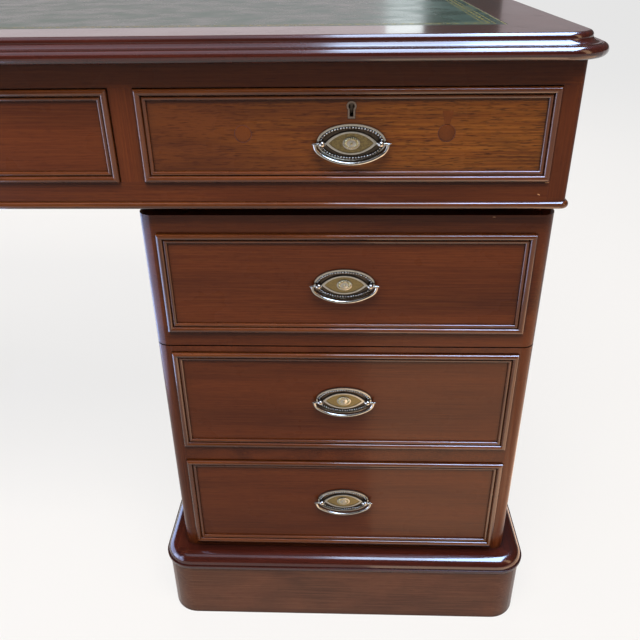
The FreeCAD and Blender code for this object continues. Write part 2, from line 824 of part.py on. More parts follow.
def make_front(drawer, box, overlay, brass_cuts):
    """Front board cut for its joints, its fittings and its groove, with the moulding on its face."""
    board = block(
        f"{drawer.name}_front_board", (drawer.middle - drawer.front_half, drawer.middle + drawer.front_half),
        (drawer.face, drawer.front_back), (drawer.low, drawer.high))
    if overlay:
        board = round_edges(
            f"{drawer.name}_front_rounded", board, size.stile_radius,
            lambda point: point.y < drawer.face.value + 1)
    side, other_side, _, bottom = box
    board = cut(f"{drawer.name}_front", board, side, other_side, bottom, *brass_cuts)
    return [board] + make_moulding(drawer)


def ellipse(label, half_width, half_height, at):
    curve = doc.addObject("Part::Ellipse", label)
    curve.MajorRadius = half_width.value
    bind(curve, MajorRadius=half_width, MinorRadius=half_height)
    place(curve, at, ON_FRONT)
    return curve


def lens(label, half_length, half_height, at):
    """Pointed oval of two arcs."""
    radius = (half_length * half_length + half_height * half_height) / (half_height * 2)
    return outline(label, at, ON_FRONT, [(-half_length, ZERO, -radius), (half_length, ZERO, -radius)])


def make_plate(drawer):
    """Oval plate with a raised rim, a pointed boss with a dished field, and a rosette."""
    x, z = drawer.handle
    half_width, half_height = size.plate_width / 2, size.plate_height / 2
    rim = size.plate_rim_width
    face = drawer.face
    floor = face - size.plate_thick
    name = drawer.name
    slab = extrude(
        f"{name}_plate_slab", ellipse(f"{name}_plate_edge", half_width, half_height, (x, face, z)),
        size.plate_thick + size.plate_rim_height)
    well = extrude(
        f"{name}_plate_well", ellipse(f"{name}_rim_edge", half_width - rim, half_height - rim, (x, floor, z)),
        size.plate_rim_height + size.overcut)
    half_length, boss_half = size.boss_length / 2, size.boss_height / 2
    boss = extrude(
        f"{name}_boss", lens(f"{name}_boss_edge", half_length, boss_half, (x, floor, z)), size.boss_rise)
    field_half = boss_half - size.boss_rim
    field_length = half_length * (field_half / boss_half)
    field = floor - size.boss_rise + size.boss_dish
    dish = extrude(
        f"{name}_dish", lens(f"{name}_dish_edge", field_length, field_half, (x, field, z)), size.overcut)
    rosette_half = size.rosette_width / 2
    rosette_rise = size.rosette_edge + size.rosette_crown
    rosette_foot = field + size.rosette_edge
    button = extrude(
        f"{name}_rosette_button",
        ellipse(f"{name}_rosette_edge", rosette_half, size.rosette_height / 2, (x, rosette_foot, z)),
        rosette_rise + size.rosette_edge + size.overcut)
    crown = doc.addObject("Part::Sphere", f"{name}_rosette_crown")
    crown_radius = bulge((-rosette_half, ZERO), (rosette_half, ZERO), size.rosette_crown)
    bind(crown, Radius=crown_radius)
    place(crown, (x, field - rosette_rise + crown_radius, z))
    rosette = common(f"{name}_rosette", button, crown)
    rimmed = cut(f"{name}_plate_rimmed", slab, well)
    dished = cut(f"{name}_boss_dished", boss, dish)
    plate = fuse(f"{name}_plate_blank", rimmed, dished, rosette)
    holes = [
        rod(f"{name}_plate_hole", size.post_radius + size.post_hole_clearance,
            size.plate_thick + size.overcut * 2, (x + offset, face + size.overcut, z), ON_FRONT)
        for offset in post_offsets()]
    return cut(f"{name}_plate", plate, *holes)


def post_offsets():
    half = size.post_spacing / 2
    return [-half, half]


def make_posts(drawer):
    """Ball-headed posts through the front, each with a nut behind it, and the holes that they need."""
    x, z = drawer.handle
    name = drawer.name
    pivot = pivot_depth(drawer)
    shank_end = drawer.front_back + size.nut_height
    pieces = []
    holes = []
    for offset in post_offsets():
        at = (x + offset, shank_end, z)
        shank = rod(f"{name}_shank", size.post_radius, shank_end - pivot, at, ON_FRONT)
        ball = doc.addObject("Part::Sphere", f"{name}_ball")
        bind(ball, Radius=size.post_ball)
        place(ball, (x + offset, pivot, z))
        eye_half = size.post_ball + size.overcut
        eye = rod(
            f"{name}_eye", size.bail_pin + size.bail_pin_clearance, eye_half * 2,
            (x + offset - eye_half, pivot, z), ALONG_X)
        pieces.append(cut(f"{name}_post", fuse(f"{name}_post_blank", shank, ball), eye))
        nut = doc.addObject("Part::Prism", f"{name}_nut_blank")
        nut.Polygon = 6
        bind(nut, Circumradius=size.nut_radius, Height=size.nut_height)
        place(nut, at, ON_FRONT)
        bore = rod(
            f"{name}_nut_bore", size.post_radius + size.nut_clearance, size.nut_height + size.overcut * 2,
            (x + offset, shank_end + size.overcut, z), ON_FRONT)
        pieces.append(cut(f"{name}_nut", nut, bore))
        holes.append(rod(
            f"{name}_post_hole", size.post_radius + size.post_hole_clearance,
            shank_end - drawer.face + size.overcut, (x + offset, shank_end, z), ON_FRONT))
    return pieces, holes


def pivot_depth(drawer):
    return drawer.face - size.post_reach


def make_bail(drawer):
    """Half-oval wire that hangs below its pins, with pointed tips outside the posts."""
    x, z = drawer.handle
    name = drawer.name
    pivot = pivot_depth(drawer)
    half, drop, shoulder = size.bail_half_width, size.bail_drop, size.bail_shoulder
    # The long arc meets the two shoulders smoothly, so the three centres fix its radius.
    long_arc = (half * half + drop * drop - half * shoulder * 2) / ((drop - shoulder) * 2)
    share = shoulder / (long_arc - shoulder)
    joint_x = (half - shoulder) * (share + 1)
    joint_z = -(long_arc - drop) * share
    hoop_path = outline(f"{name}_hoop_path", (x, pivot, z), ON_FRONT, [
        (-half, ZERO),
        (-joint_x, joint_z, -shoulder),
        (joint_x, joint_z, -long_arc),
        (half, ZERO, -shoulder)], closed=False)
    wire = doc.addObject("Part::Circle", f"{name}_hoop_wire")
    bind(wire, Radius=size.bail_wire)
    place(wire, (x - half, pivot, z))
    hoop = doc.addObject("Part::Sweep", f"{name}_hoop")
    hoop.Sections = [wire]
    hoop.Spine = (hoop_path, ["Edge1", "Edge2", "Edge3"])
    hoop.Solid = True
    pieces = [hoop]
    pin_start = size.post_spacing / 2 - size.post_ball - size.bail_pin_end
    for direction, turn in ((1, ALONG_X), (-1, ALONG_MINUS_X)):
        pieces.append(rod(
            f"{name}_pin", size.bail_pin, half - pin_start,
            (x + pin_start * direction, pivot, z), turn))
        tip = doc.addObject("Part::Cone", f"{name}_tip")
        bind(tip, Radius1=size.bail_wire, Radius2=size.bail_tip_radius, Height=size.bail_tip_length)
        place(tip, (x + (half - size.bail_wire) * direction, pivot, z), turn)
        pieces.append(tip)
    return fuse(f"{name}_bail_wire", *pieces)


def keyhole(label, x, z, margin, front, depth):
    """Round top and straight tail, wider all round by the margin."""
    head = rod(f"{label}_head", size.keyhole_radius + margin, depth, (x, front + depth, z), ON_FRONT)
    half = size.keyhole_slot / 2 + margin
    tail = block(
        f"{label}_tail", (x - half, x + half), (front, front + depth), (z - size.keyhole_tail - margin, z))
    return fuse(label, head, tail)


def make_lock(drawer):
    """Lock case let into the back of the front board, escutcheon in its face, and the bolt."""
    name = drawer.name
    x = drawer.handle[0]
    back = drawer.front_back
    front = back - size.lock_thick
    high = drawer.high
    half, half_selvedge, half_bolt = size.lock_width / 2, size.selvedge_width / 2, size.bolt_width / 2
    body = fuse(
        f"{name}_lock_body",
        block(f"{name}_lock_case", (x - half, x + half), (front, back), (high - size.lock_height, high)),
        block(f"{name}_selvedge", (x - half_selvedge, x + half_selvedge), (front, back),
              (high - size.selvedge_thick, high)))
    bolt_front, bolt_back = bolt_span()
    bolt_low = high - size.bolt_height
    room = size.bolt_clearance
    pocket = block(
        f"{name}_bolt_room", (x - half_bolt - room, x + half_bolt + room),
        (bolt_front - room, bolt_back + room), (bolt_low - room, high + size.overcut))
    case = cut(f"{name}_lock", body, pocket)

    z = high - size.key_pin_depth
    hole_front = drawer.face - size.escutcheon_proud - size.overcut
    hole = keyhole(f"{name}_keyhole", x, z, ZERO, hole_front, front - hole_front)
    plug_front = drawer.face - size.escutcheon_proud
    plug = keyhole(f"{name}_escutcheon_blank", x, z, size.escutcheon_rim, plug_front,
                   size.escutcheon_depth + size.escutcheon_proud)
    escutcheon = cut(f"{name}_escutcheon", plug, hole)
    bolt = block(
        f"{name}_bolt_bar", (x - half_bolt, x + half_bolt), (bolt_front, bolt_back), (bolt_low, high))
    return [case, escutcheon], [body, hole, plug], bolt


def make_drawer(drawer, rear, overlay=False, locked=False):
    """All the nodes of one drawer, by name."""
    plate = make_plate(drawer)
    posts, holes = make_posts(drawer)
    brass, cuts = [plate] + posts, holes
    parts = {}
    if locked:
        lock_pieces, lock_cuts, bolt = make_lock(drawer)
        brass = brass + lock_pieces
        cuts = cuts + lock_cuts
        parts["lock_bolt"] = [bolt]
    box = make_box(drawer, rear, overlay)
    parts["drawer_front"] = make_front(drawer, box, overlay, cuts)
    parts["drawer_box"] = box
    parts["handle_and_lock" if locked else "handle_plate"] = brass
    parts["handle_bail"] = [make_bail(drawer)]
    return parts


def make_frieze_drawers():
    low = frieze_sill + size.drawer_lift
    high = frieze_head - size.front_gap
    face = -frieze_y + size.front_recess
    rear = frieze_inside_back - size.frieze_rear_gap
    handle_z = (low + high) / 2 - size.frieze_handle_drop
    openings = {
        "frieze_centre": (-divider_inner, divider_inner, ZERO),
        "frieze": (divider_outer, frieze_inside_x, size.frieze_handle_shift)}
    for name, (left, right, shift) in openings.items():
        middle = (left + right) / 2
        drawer = Drawer(name, middle, right - left - size.front_gap * 2, face, low, high)
        drawer.handle = (middle + shift, handle_z)
        parts = make_drawer(drawer, rear, locked=True)
        for part, pieces in parts.items():
            if name == "frieze":
                right_group(f"frieze_{part}", pieces)
            else:
                group(f"{name}_{part}", pieces)


def make_pedestal_drawers():
    width = opening_right - opening_left - size.front_gap * 2
    face = -pedestal_y + size.front_recess
    rear = pedestal_inside_back - size.pedestal_rear_gap
    for name, sill, head, rise in (
            ("middle", middle_sill, upper_rail_bottom, size.middle_handle_rise),
            ("bottom", bottom_sill, lower_rail_bottom, size.bottom_handle_rise)):
        drawer = Drawer(name, pedestal_middle, width, face, sill + size.drawer_lift, head - size.front_gap)
        drawer.handle = (pedestal_middle, drawer.handle[1] + rise)
        for part, pieces in make_drawer(drawer, rear).items():
            right_group(f"{name}_{part}", pieces)

    # The top drawer's front covers the whole width of the pedestal, stiles included.
    drawer = Drawer(
        "top", pedestal_middle, width, -pedestal_y, overlay_joint + size.overlay_joint_gap,
        frieze_bottom - size.head_reveal)
    drawer.front_half = size.pedestal_width / 2
    drawer.front_back = overlay_back
    drawer.box_low = top_sill + size.drawer_lift
    drawer.box_high = case_top_bottom - size.side_drop
    drawer.moulding = (drawer.low + size.overlay_foot, drawer.high - size.overlay_head)
    drawer.moulding_half = size.pedestal_width / 2 - size.overlay_margin
    drawer.handle = (pedestal_middle, (drawer.moulding[0] + drawer.moulding[1]) / 2 + size.top_handle_rise)
    for part, pieces in make_drawer(drawer, rear, overlay=True).items():
        right_group(f"top_{part}", pieces)


def check_document():
    failed = [obj.Label for obj in doc.Objects if {"Invalid", "Error"} & set(obj.State)]
    if failed:
        raise RuntimeError(f"these objects failed to compute: {failed}")
    for node in nodes:
        if node.Shape.isNull() or not node.Shape.isValid() or not node.Shape.Solids:
            raise RuntimeError(f"{node.Label} has no valid solid")


def main():
    make_top()
    make_frieze()
    make_pedestal()
    make_frieze_drawers()
    make_pedestal_drawers()
    doc.recompute()
    check_document()
    os.makedirs("parts", exist_ok=True)
    for node in nodes:
        node.Shape.exportStep(f"parts/{node.Label}.step")
    print(f"{len(nodes)} nodes, {sum(len(node.Shape.Solids) for node in nodes)} solids")


main()
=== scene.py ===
import json
import math
import random
from typing import NamedTuple

import bmesh
import bpy
from bpy.props import FloatProperty, FloatVectorProperty, IntProperty, PointerProperty
from mathutils import Matrix, Vector


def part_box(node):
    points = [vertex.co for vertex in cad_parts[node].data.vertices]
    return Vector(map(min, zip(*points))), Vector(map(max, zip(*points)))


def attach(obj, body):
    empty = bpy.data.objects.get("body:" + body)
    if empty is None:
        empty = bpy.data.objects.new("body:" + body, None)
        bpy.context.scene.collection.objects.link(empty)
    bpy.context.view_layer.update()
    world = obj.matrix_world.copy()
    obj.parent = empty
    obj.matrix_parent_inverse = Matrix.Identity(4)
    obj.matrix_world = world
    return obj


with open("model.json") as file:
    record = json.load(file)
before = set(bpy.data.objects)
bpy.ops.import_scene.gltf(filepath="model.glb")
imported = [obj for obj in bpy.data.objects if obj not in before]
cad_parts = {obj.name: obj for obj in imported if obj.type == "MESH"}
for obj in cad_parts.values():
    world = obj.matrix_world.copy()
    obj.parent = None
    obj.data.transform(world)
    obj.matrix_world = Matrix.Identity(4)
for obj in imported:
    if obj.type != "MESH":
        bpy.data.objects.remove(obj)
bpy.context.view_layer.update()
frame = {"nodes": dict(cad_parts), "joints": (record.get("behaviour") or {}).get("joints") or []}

bl_info = {
    "name": "Pedestal desk looks",
    "version": (1, 0, 0),
    "blender": (4, 5, 0),
    "location": "View3D > Sidebar > Desk",
    "description": "Finishes, handle relief, leather tooling, wear and stage of a mahogany pedestal desk",
    "category": "Object",
}

MM = 0.001
SAME_SPOT = 0.01 * MM
AXES = "XYZ"
X, Y, Z = range(3)

DRAWERS = ["frieze_centre"] + [
    f"{side}_{row}" for side in ("left", "right") for row in ("frieze", "top", "middle", "bottom")
]
LOCKED = ("frieze_centre", "left_frieze", "right_frieze")
PEDESTALS = ("left", "right")


def linear(hex_colour):
    """Linear colour of an sRGB hex value."""
    channels = [int(hex_colour[i:i + 2], 16) / 255 for i in (1, 3, 5)]
    return tuple(c / 12.92 if c <= 0.04045 else ((c + 0.055) / 1.055) ** 2.4 for c in channels)


def colour(label, hex_colour, description):
    """A colour that a user may change."""
    return FloatVectorProperty(name=label, description=description, subtype="COLOR", size=3,
                               min=0.0, max=1.0, default=linear(hex_colour))


def length(label, millimetres, description):
    """A length that a user may change."""
    return FloatProperty(name=label, description=description, subtype="DISTANCE", unit="LENGTH",
                         min=0.0, default=millimetres * MM)


class DeskColours(bpy.types.PropertyGroup):
    """Colours of the finishes."""
    mahogany_deep: colour("Mahogany deep", "#270d06", "Dark bands of the polished mahogany")
    mahogany_body: colour("Mahogany", "#4a220e", "Body of the polished mahogany")
    mahogany_light: colour("Mahogany light", "#693a1a", "Light streaks of the polished mahogany")
    top_deep: colour("Top deep", "#190807", "Dark bands of the top's border and nosing")
    top_body: colour("Top", "#30120d", "Body of the top's border and nosing")
    top_light: colour("Top light", "#522419", "Light streaks of the top's border and nosing")
    veneer_deep: colour("Veneer deep", "#271207", "Dark dashes of the golden drawer veneer")
    veneer_red: colour("Veneer red", "#4f2911", "Body of the drawer veneer at its red end")
    veneer_body: colour("Veneer", "#562d0d", "Body of the golden drawer veneer")
    veneer_light: colour("Veneer light", "#774a1a", "Light streaks of the golden drawer veneer")
    moulding_deep: colour("Moulding deep", "#1e0d04", "Dark bands of the planted mouldings")
    moulding_body: colour("Moulding", "#46230d", "Body of the planted mouldings")
    # This colour is also mixed onto every moulding arris, as rubbed wood with a painted highlight.
    moulding_light: colour("Moulding light", "#77441e", "Rubbed streaks of the planted mouldings")
    plinth_deep: colour("Plinth deep", "#27130c", "Dark bands of the plinths")
    plinth_body: colour("Plinth", "#523020", "Body of the plinths")
    plinth_scuff: colour("Plinth scuff", "#7a553c", "Scuffs where feet and brooms rub the plinths")
    # Near inside corners this colour darkens the polished wood as painted shade; in the brass it is tarnish
    # in the hollows.
    grime: colour("Grime", "#0c0605", "Old wax and dust that fill the quirks and joints")
    oak: colour("Oak", "#a27c4e", "Drawer linings")
    oak_deep: colour("Oak deep", "#80603a", "Dark lines of the drawer linings")
    pine: colour("Pine", "#b48c59", "Ground of the top")
    pine_deep: colour("Pine deep", "#7d5a34", "Dark lines of the ground of the top")
    leather: colour("Leather", "#14261c", "Dye of the writing leather")
    leather_worn: colour("Leather worn", "#2f4836", "Rubbed tops of the leather's grain")
    gilt: colour("Gilt", "#a78c3d", "Gold leaf of the tooling")
    brass: colour("Brass", "#9f978a", "Handled brass of the rims and bails")
    brass_dark: colour("Brass dark", "#463c32", "Tarnish in the hollows of the brass")
    brass_field: colour("Brass field", "#7c6b45", "Satin field in the middle of a handle plate")
    brass_dull: colour("Brass dull", "#76675a", "Even tarnish of the keyhole plates")
    brass_rubbed: colour("Brass rubbed", "#a6966d", "Rubbed high parts of the rosettes")
    bare_wood: colour("Bare wood", "#c79f78", "Fresh wood in the chips")
    plug: colour("Plug", "#572d10", "Wood of the filled knob holes")
    floor: colour("Floor", "#aeaba8", "Studio floor")


class DeskSizes(bpy.types.PropertyGroup):
    """Sizes of the small work on the handles, the leather and the drawer fronts."""
    arris: length("Arris", 0.9, "Radius of the rubbed edges of the joinery")
    bead: length("Bead", 2.3, "Diameter of a bead round a handle plate")
    bead_pitch: length("Bead pitch", 2.9, "Spacing of the beads round a handle plate")
    bead_half_width: length("Bead ring half width", 30.2, "Half the width of the oval of beads")
    bead_half_height: length("Bead ring half height", 14.8, "Half the height of the oval of beads")
    petals: IntProperty(name="Petals", description="Petals of the rosette", min=3, default=20)
    petal_length: length("Petal length", 3.4, "Length of a petal of the rosette")
    petal_width: length("Petal width", 1.5, "Width of a petal of the rosette")
    rosette_centre: length("Rosette centre", 2.4, "Diameter of the button in the rosette")
    tooling_inset: length("Tooling inset", 10.0, "From the edge of the leather to the gilt band")
    tooling_width: length("Tooling width", 11.0, "Width of the gilt band")
    fillet: length("Gilt fillet", 0.9, "Width of a plain gilt line")
    leaf: length("Gilt leaf", 7.0, "Length of a leaf of the gilt roll")
    leaf_pitch: length("Gilt leaf pitch", 9.0, "Spacing of the leaves of the gilt roll")
    plug_diameter: length("Plug diameter", 16.0, "Diameter of a filled knob hole")


# Shared makers of nodes, meshes and pieces

def colours():
    """The colours as RGBA, by name."""
    group = bpy.context.scene.desk_colours
    return {name: (*getattr(group, name), 1.0) for name in DeskColours.__annotations__}


def sizes():
    """The sizes of the small work."""
    return bpy.context.scene.desk_sizes


def add_node(tree, kind, inputs=None, **settings):
    """Adds a node with its settings, and fills or links its inputs."""
    node = tree.nodes.new(kind)
    for name, value in settings.items():
        setattr(node, name, value)
    for socket, value in (inputs or {}).items():
        if isinstance(value, bpy.types.NodeSocket):
            tree.links.new(value, node.inputs[socket])
        else:
            node.inputs[socket].default_value = value
    return node


def new_material(name):
    """The material of one finish, emptied so that it can be made afresh."""
    material = bpy.data.materials.get(name) or bpy.data.materials.new(name)
    material.use_nodes = True
    material.node_tree.nodes.clear()
    return material


def finish_surface(tree, settings):
    """Joins a surface made of these settings to the material's output."""
    surface = add_node(tree, "ShaderNodeBsdfPrincipled", settings)
    add_node(tree, "ShaderNodeOutputMaterial", {"Surface": surface.outputs[0]})


def per_metre(along, across):
    """Pattern scale at which one mark is so many millimetres along the grain and across it."""
    return (1 / (along * MM), 1 / (across * MM), 1 / (across * MM))


def new_piece(name, shape, material, body, place=Matrix.Identity(4)):
    """A piece made from a bmesh, riding on a body and taking its finish from a slot."""
    mesh = bpy.data.meshes.new(name)
    shape.to_mesh(mesh)
    shape.free()
    mesh.materials.append(material)
    piece = bpy.data.objects.new(name, mesh)
    piece.matrix_world = place
    bpy.context.scene.collection.objects.link(piece)
    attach(piece, body)
    return piece


def dress(node, materials):
    """Puts materials in a CAD node's slots and returns its mesh."""
    mesh = frame["nodes"][node].data
    mesh.materials.clear()
    for material in materials:
        mesh.materials.append(material)
    return mesh


def boards(mesh):
    """Polygons of each separate board of a mesh, told apart by the corners that they share."""
    corner_at = {}
    corner_of = []
    for vertex in mesh.vertices:
        spot = tuple(round(c / SAME_SPOT) for c in vertex.co)
        corner_of.append(corner_at.setdefault(spot, len(corner_at)))
    leader = list(range(len(corner_at)))

    def lead(corner):
        while leader[corner] != corner:
            leader[corner] = leader[leader[corner]]
            corner = leader[corner]
        return corner

    for polygon in mesh.polygons:
        corners = [corner_of[i] for i in polygon.vertices]
        for corner in corners[1:]:
            leader[lead(corner)] = lead(corners[0])
    found = {}
    for polygon in mesh.polygons:
        found.setdefault(lead(corner_of[polygon.vertices[0]]), []).append(polygon)
    return list(found.values())


def grain_along_boards(node, woods, axes=(X, Y, Z)):
    """Runs the grain of each separate board of a node along the longest of its sides on these axes."""
    mesh = dress(node, woods)
    for board in boards(mesh):
        corners = [mesh.vertices[i].co for polygon in board for i in polygon.vertices]
        reach = {i: max(c[i] for c in corners) - min(c[i] for c in corners) for i in axes}
        for polygon in board:
            polygon.material_index = max(reach, key=reach.get)


def runs_along(point, low, high, first, second):
    """The axis that a mitred frame's piece runs along at a point: the frame lies in two axes."""
    room = {i: min(point[i] - low[i], high[i] - point[i]) for i in (first, second)}
    return first if room[second] < room[first] else second


def grain_round_frame(node, woods, first, second):
    """Runs the grain of a mitred frame's pieces along each of its sides."""
    low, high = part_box(node)
    for polygon in dress(node, woods).polygons:
        polygon.material_index = runs_along(polygon.center, low, high, first, second)


# Finishes

# Length and width of a wood's dark bands, in millimetres.
STRAIGHT_BANDS = (520, 45)
VENEER_BANDS = (130, 22)
SCUFFED_BANDS = (110, 60)
# Strengths of the streaks and pores of quiet mahogany and of the two ends of the frieze veneer.
QUIET_FIGURE = (0.35, 0.3)
RED_FIGURE = (0.7, 0.7)
GOLDEN_FIGURE = (0.8, 0.9)
# From the middle of the desk, the places between which the frieze veneer turns from red to golden. Its
# clouds add about half their drift to a place.
VENEER_RED_END = 660 * MM
VENEER_GOLDEN_END = 860 * MM
VENEER_DRIFT = 400 * MM
# Roughness that handling adds, share of the lighter arris colour (rubbed wood with a painted highlight on
# the mouldings, scuffs on the plinths), and shine of the wood under its skin: the skin carries nearly all
# of the shine.
HANDLED = 0.1
ARRIS_RUB_AND_HIGHLIGHT = 0.3
UNDER_SKIN = 0.04


def grain_place(tree, axis):
    """The place on a piece, with the axis of its grain put first."""
    place = add_node(tree, "ShaderNodeTexCoord").outputs["Object"]
    turned = add_node(tree, "ShaderNodeSeparateXYZ", {0: place}).outputs
    ordered = [turned[(axis + step) % 3] for step in range(3)]
    return add_node(tree, "ShaderNodeCombineXYZ", dict(enumerate(ordered))).outputs[0]


def three_cuts(make, name, *finish):
    """The same wood cut with its grain along each axis."""
    return [make(name, axis, *finish) for axis in (X, Y, Z)]


def wood_figure(tree, axis, deep, body, light, strengths, band):
    """Colour and pores of a plank, from the strengths of its streaks and pores and its band size."""
    streak, pore = strengths
    grain = grain_place(tree, axis)
    # Each node is cut from another part of the plank.
    plank = add_node(tree, "ShaderNodeObjectInfo").outputs["Random"]
    cut = add_node(tree, "ShaderNodeVectorMath", {0: plank, 1: (7.0, 3.0, 5.0), 2: grain},
                   operation="MULTIPLY_ADD").outputs[0]
    wide = add_node(tree, "ShaderNodeVectorMath", {0: cut, 1: per_metre(*band)},
                    operation="MULTIPLY").outputs[0]
    bands = add_node(tree, "ShaderNodeTexNoise",
                     {"Vector": wide, "Scale": 1.0, "Detail": 3.0, "Distortion": 0.5}).outputs[0]
    # Vessel lines are about 0.3 mm wide; they are drawn 1.6 mm wide so that they show.
    fine = add_node(tree, "ShaderNodeVectorMath", {0: cut, 1: per_metre(90, 1.6)},
                    operation="MULTIPLY").outputs[0]
    streaks = add_node(tree, "ShaderNodeTexNoise",
                       {"Vector": fine, "Scale": 1.0, "Detail": 4.0, "Roughness": 0.6}).outputs[0]
    # Open pores are about 0.2 mm wide and 3 mm long; they are drawn at 1.1 by 11 mm.
    short = add_node(tree, "ShaderNodeVectorMath", {0: cut, 1: per_metre(11, 1.1)},
                     operation="MULTIPLY").outputs[0]
    pores = add_node(tree, "ShaderNodeTexNoise",
                     {"Vector": short, "Scale": 1.0, "Detail": 2.0}).outputs[0]
    band_share = add_node(tree, "ShaderNodeMapRange",
                          {0: bands, 1: 0.25, 2: 0.6, 3: 0.25, 4: 1.0}).outputs[0]
    banded = add_node(tree, "ShaderNodeMix", {0: band_share, 6: deep, 7: body},
                      data_type="RGBA").outputs[2]
    streak_share = add_node(tree, "ShaderNodeMapRange",
                            {0: streaks, 1: 0.4, 2: 0.75, 3: 0.0, 4: streak}).outputs[0]
    streaked = add_node(tree, "ShaderNodeMix", {0: streak_share, 6: banded, 7: light},
                        data_type="RGBA").outputs[2]
    pore_share = add_node(tree, "ShaderNodeMapRange",
                          {0: pores, 1: 0.52, 2: 0.72, 3: 0.0, 4: pore}).outputs[0]
    figure = add_node(tree, "ShaderNodeMix", {0: pore_share, 6: streaked, 7: deep},
                      data_type="RGBA").outputs[2]
    return figure, pores


def polish(tree, figure, pores, gloss, coat, skin, edge=None):
    """Shellac over a plank: the wood's gloss, the skin's share and roughness, a lighter arris colour, and
    painted shade near inside corners.
    """
    tint = colours()
    rounded = add_node(tree, "ShaderNodeBevel", {"Radius": sizes().arris}, samples=4).outputs[0]
    shown = figure
    # The edge colour is mixed onto every arris: on the mouldings it is rubbed wood with a painted
    # highlight, on the plinths scuffed wood.
    if edge:
        facing = add_node(tree, "ShaderNodeNewGeometry").outputs["Normal"]
        turn = add_node(tree, "ShaderNodeVectorMath", {0: rounded, 1: facing},
                        operation="DOT_PRODUCT").outputs["Value"]
        rubbed = add_node(tree, "ShaderNodeMapRange",
                          {0: turn, 1: 0.99, 2: 0.8, 3: 0.0, 4: ARRIS_RUB_AND_HIGHLIGHT}).outputs[0]
        shown = add_node(tree, "ShaderNodeMix", {0: rubbed, 6: figure, 7: edge},
                         data_type="RGBA").outputs[2]
    # Within about 14 mm of an inside corner the wood is darkened as painted shade, with some old wax and
    # dust.
    open_air = add_node(tree, "ShaderNodeAmbientOcclusion", {"Distance": 14 * MM},
                        samples=6).outputs["AO"]
    open_share = add_node(tree, "ShaderNodeMapRange", {0: open_air, 1: 0.2, 2: 0.85}).outputs[0]
    base = add_node(tree, "ShaderNodeMix", {0: open_share, 6: tint["grime"], 7: shown},
                    data_type="RGBA").outputs[2]
    place = add_node(tree, "ShaderNodeTexCoord").outputs["Object"]
    # Hands leave dull patches about 60 mm across.
    hand_marks = add_node(tree, "ShaderNodeTexNoise",
                          {"Vector": place, "Scale": 1 / (60 * MM), "Detail": 4.0}).outputs[0]
    dulled = add_node(tree, "ShaderNodeMapRange",
                      {0: hand_marks, 1: 0.3, 2: 0.7, 3: gloss, 4: gloss + HANDLED}).outputs[0]
    relief = add_node(tree, "ShaderNodeBump",
                      {"Strength": 0.1, "Distance": 0.1 * MM, "Height": pores, "Normal": rounded})
    finish_surface(tree, {"Base Color": base, "Roughness": dulled, "Normal": relief.outputs[0],
                          "Specular IOR Level": UNDER_SKIN, "Coat Weight": coat,
                          "Coat Roughness": skin})


def polished_wood(name, axis, deep, body, light, gloss, coat, skin, edge=None, band=STRAIGHT_BANDS):
    """Polished wood with its grain along an axis: quiet streaks under a clear skin."""
    material = new_material(f"{name}_{AXES[axis].lower()}")
    tree = material.node_tree
    figure, pores = wood_figure(tree, axis, deep, body, light, QUIET_FIGURE, band)
    polish(tree, figure, pores, gloss, coat, skin, edge)
    return material


def french_polished_mahogany():
    """Three cuts of french polished mahogany: a thin shellac skin over quiet red brown streaks."""
    c = colours()
    return three_cuts(polished_wood, "french_polished_mahogany", c["mahogany_deep"], c["mahogany_body"],
                      c["mahogany_light"], 0.24, 0.2, 0.16)


def waxed_top_mahogany():
    """Three cuts of the top's mahogany, darkened by years of wax: deep red with a wet shine."""
    c = colours()
    return three_cuts(polished_wood, "waxed_top_mahogany", c["top_deep"], c["top_body"],
                      c["top_light"], 0.2, 0.9, 0.13)


def golden_sawn_veneer():
    """Straight grained sawn veneer, red brown at one end and golden at the other, with dark dashes."""
    c = colours()
    material = new_material("golden_sawn_veneer")
    tree = material.node_tree
    red, _ = wood_figure(tree, X, c["mahogany_deep"], c["veneer_red"], c["veneer_body"], RED_FIGURE,
                         VENEER_BANDS)
    golden, pores = wood_figure(tree, X, c["veneer_deep"], c["veneer_body"], c["veneer_light"],
                                GOLDEN_FIGURE, VENEER_BANDS)
    place = add_node(tree, "ShaderNodeTexCoord").outputs["Object"]
    across = add_node(tree, "ShaderNodeSeparateXYZ", {0: place}).outputs[0]
    from_middle = add_node(tree, "ShaderNodeMath", {0: across}, operation="ABSOLUTE").outputs[0]
    # The red fades to golden towards the desk's ends in cloudy patches about 90 mm across.
    clouds = add_node(tree, "ShaderNodeTexNoise",
                      {"Vector": place, "Scale": 1 / (90 * MM), "Detail": 3.0}).outputs[0]
    drift = add_node(tree, "ShaderNodeMath", {0: clouds, 1: VENEER_DRIFT, 2: from_middle},
                     operation="MULTIPLY_ADD").outputs[0]
    share = add_node(tree, "ShaderNodeMapRange",
                     {0: drift, 1: VENEER_RED_END, 2: VENEER_GOLDEN_END}).outputs[0]
    figure = add_node(tree, "ShaderNodeMix", {0: share, 6: red, 7: golden},
                      data_type="RGBA").outputs[2]
    polish(tree, figure, pores, 0.24, 0.25, 0.08)
    return material


def stuck_mahogany_moulding():
    """Three cuts of planed moulding: every arris lighter, as rubbed wood with a painted highlight."""
    c = colours()
    return three_cuts(polished_wood, "stuck_mahogany_moulding", c["moulding_deep"], c["moulding_body"],
                      c["moulding_light"], 0.22, 0.75, 0.09, c["moulding_light"])


def worn_mahogany():
    """Three cuts of scuffed plinth mahogany: dull polish, worn through along the edges."""
    c = colours()
    return three_cuts(polished_wood, "worn_mahogany", c["plinth_deep"], c["plinth_body"],
                      c["plinth_scuff"], 0.28, 0.3, 0.12, c["plinth_scuff"], SCUFFED_BANDS)


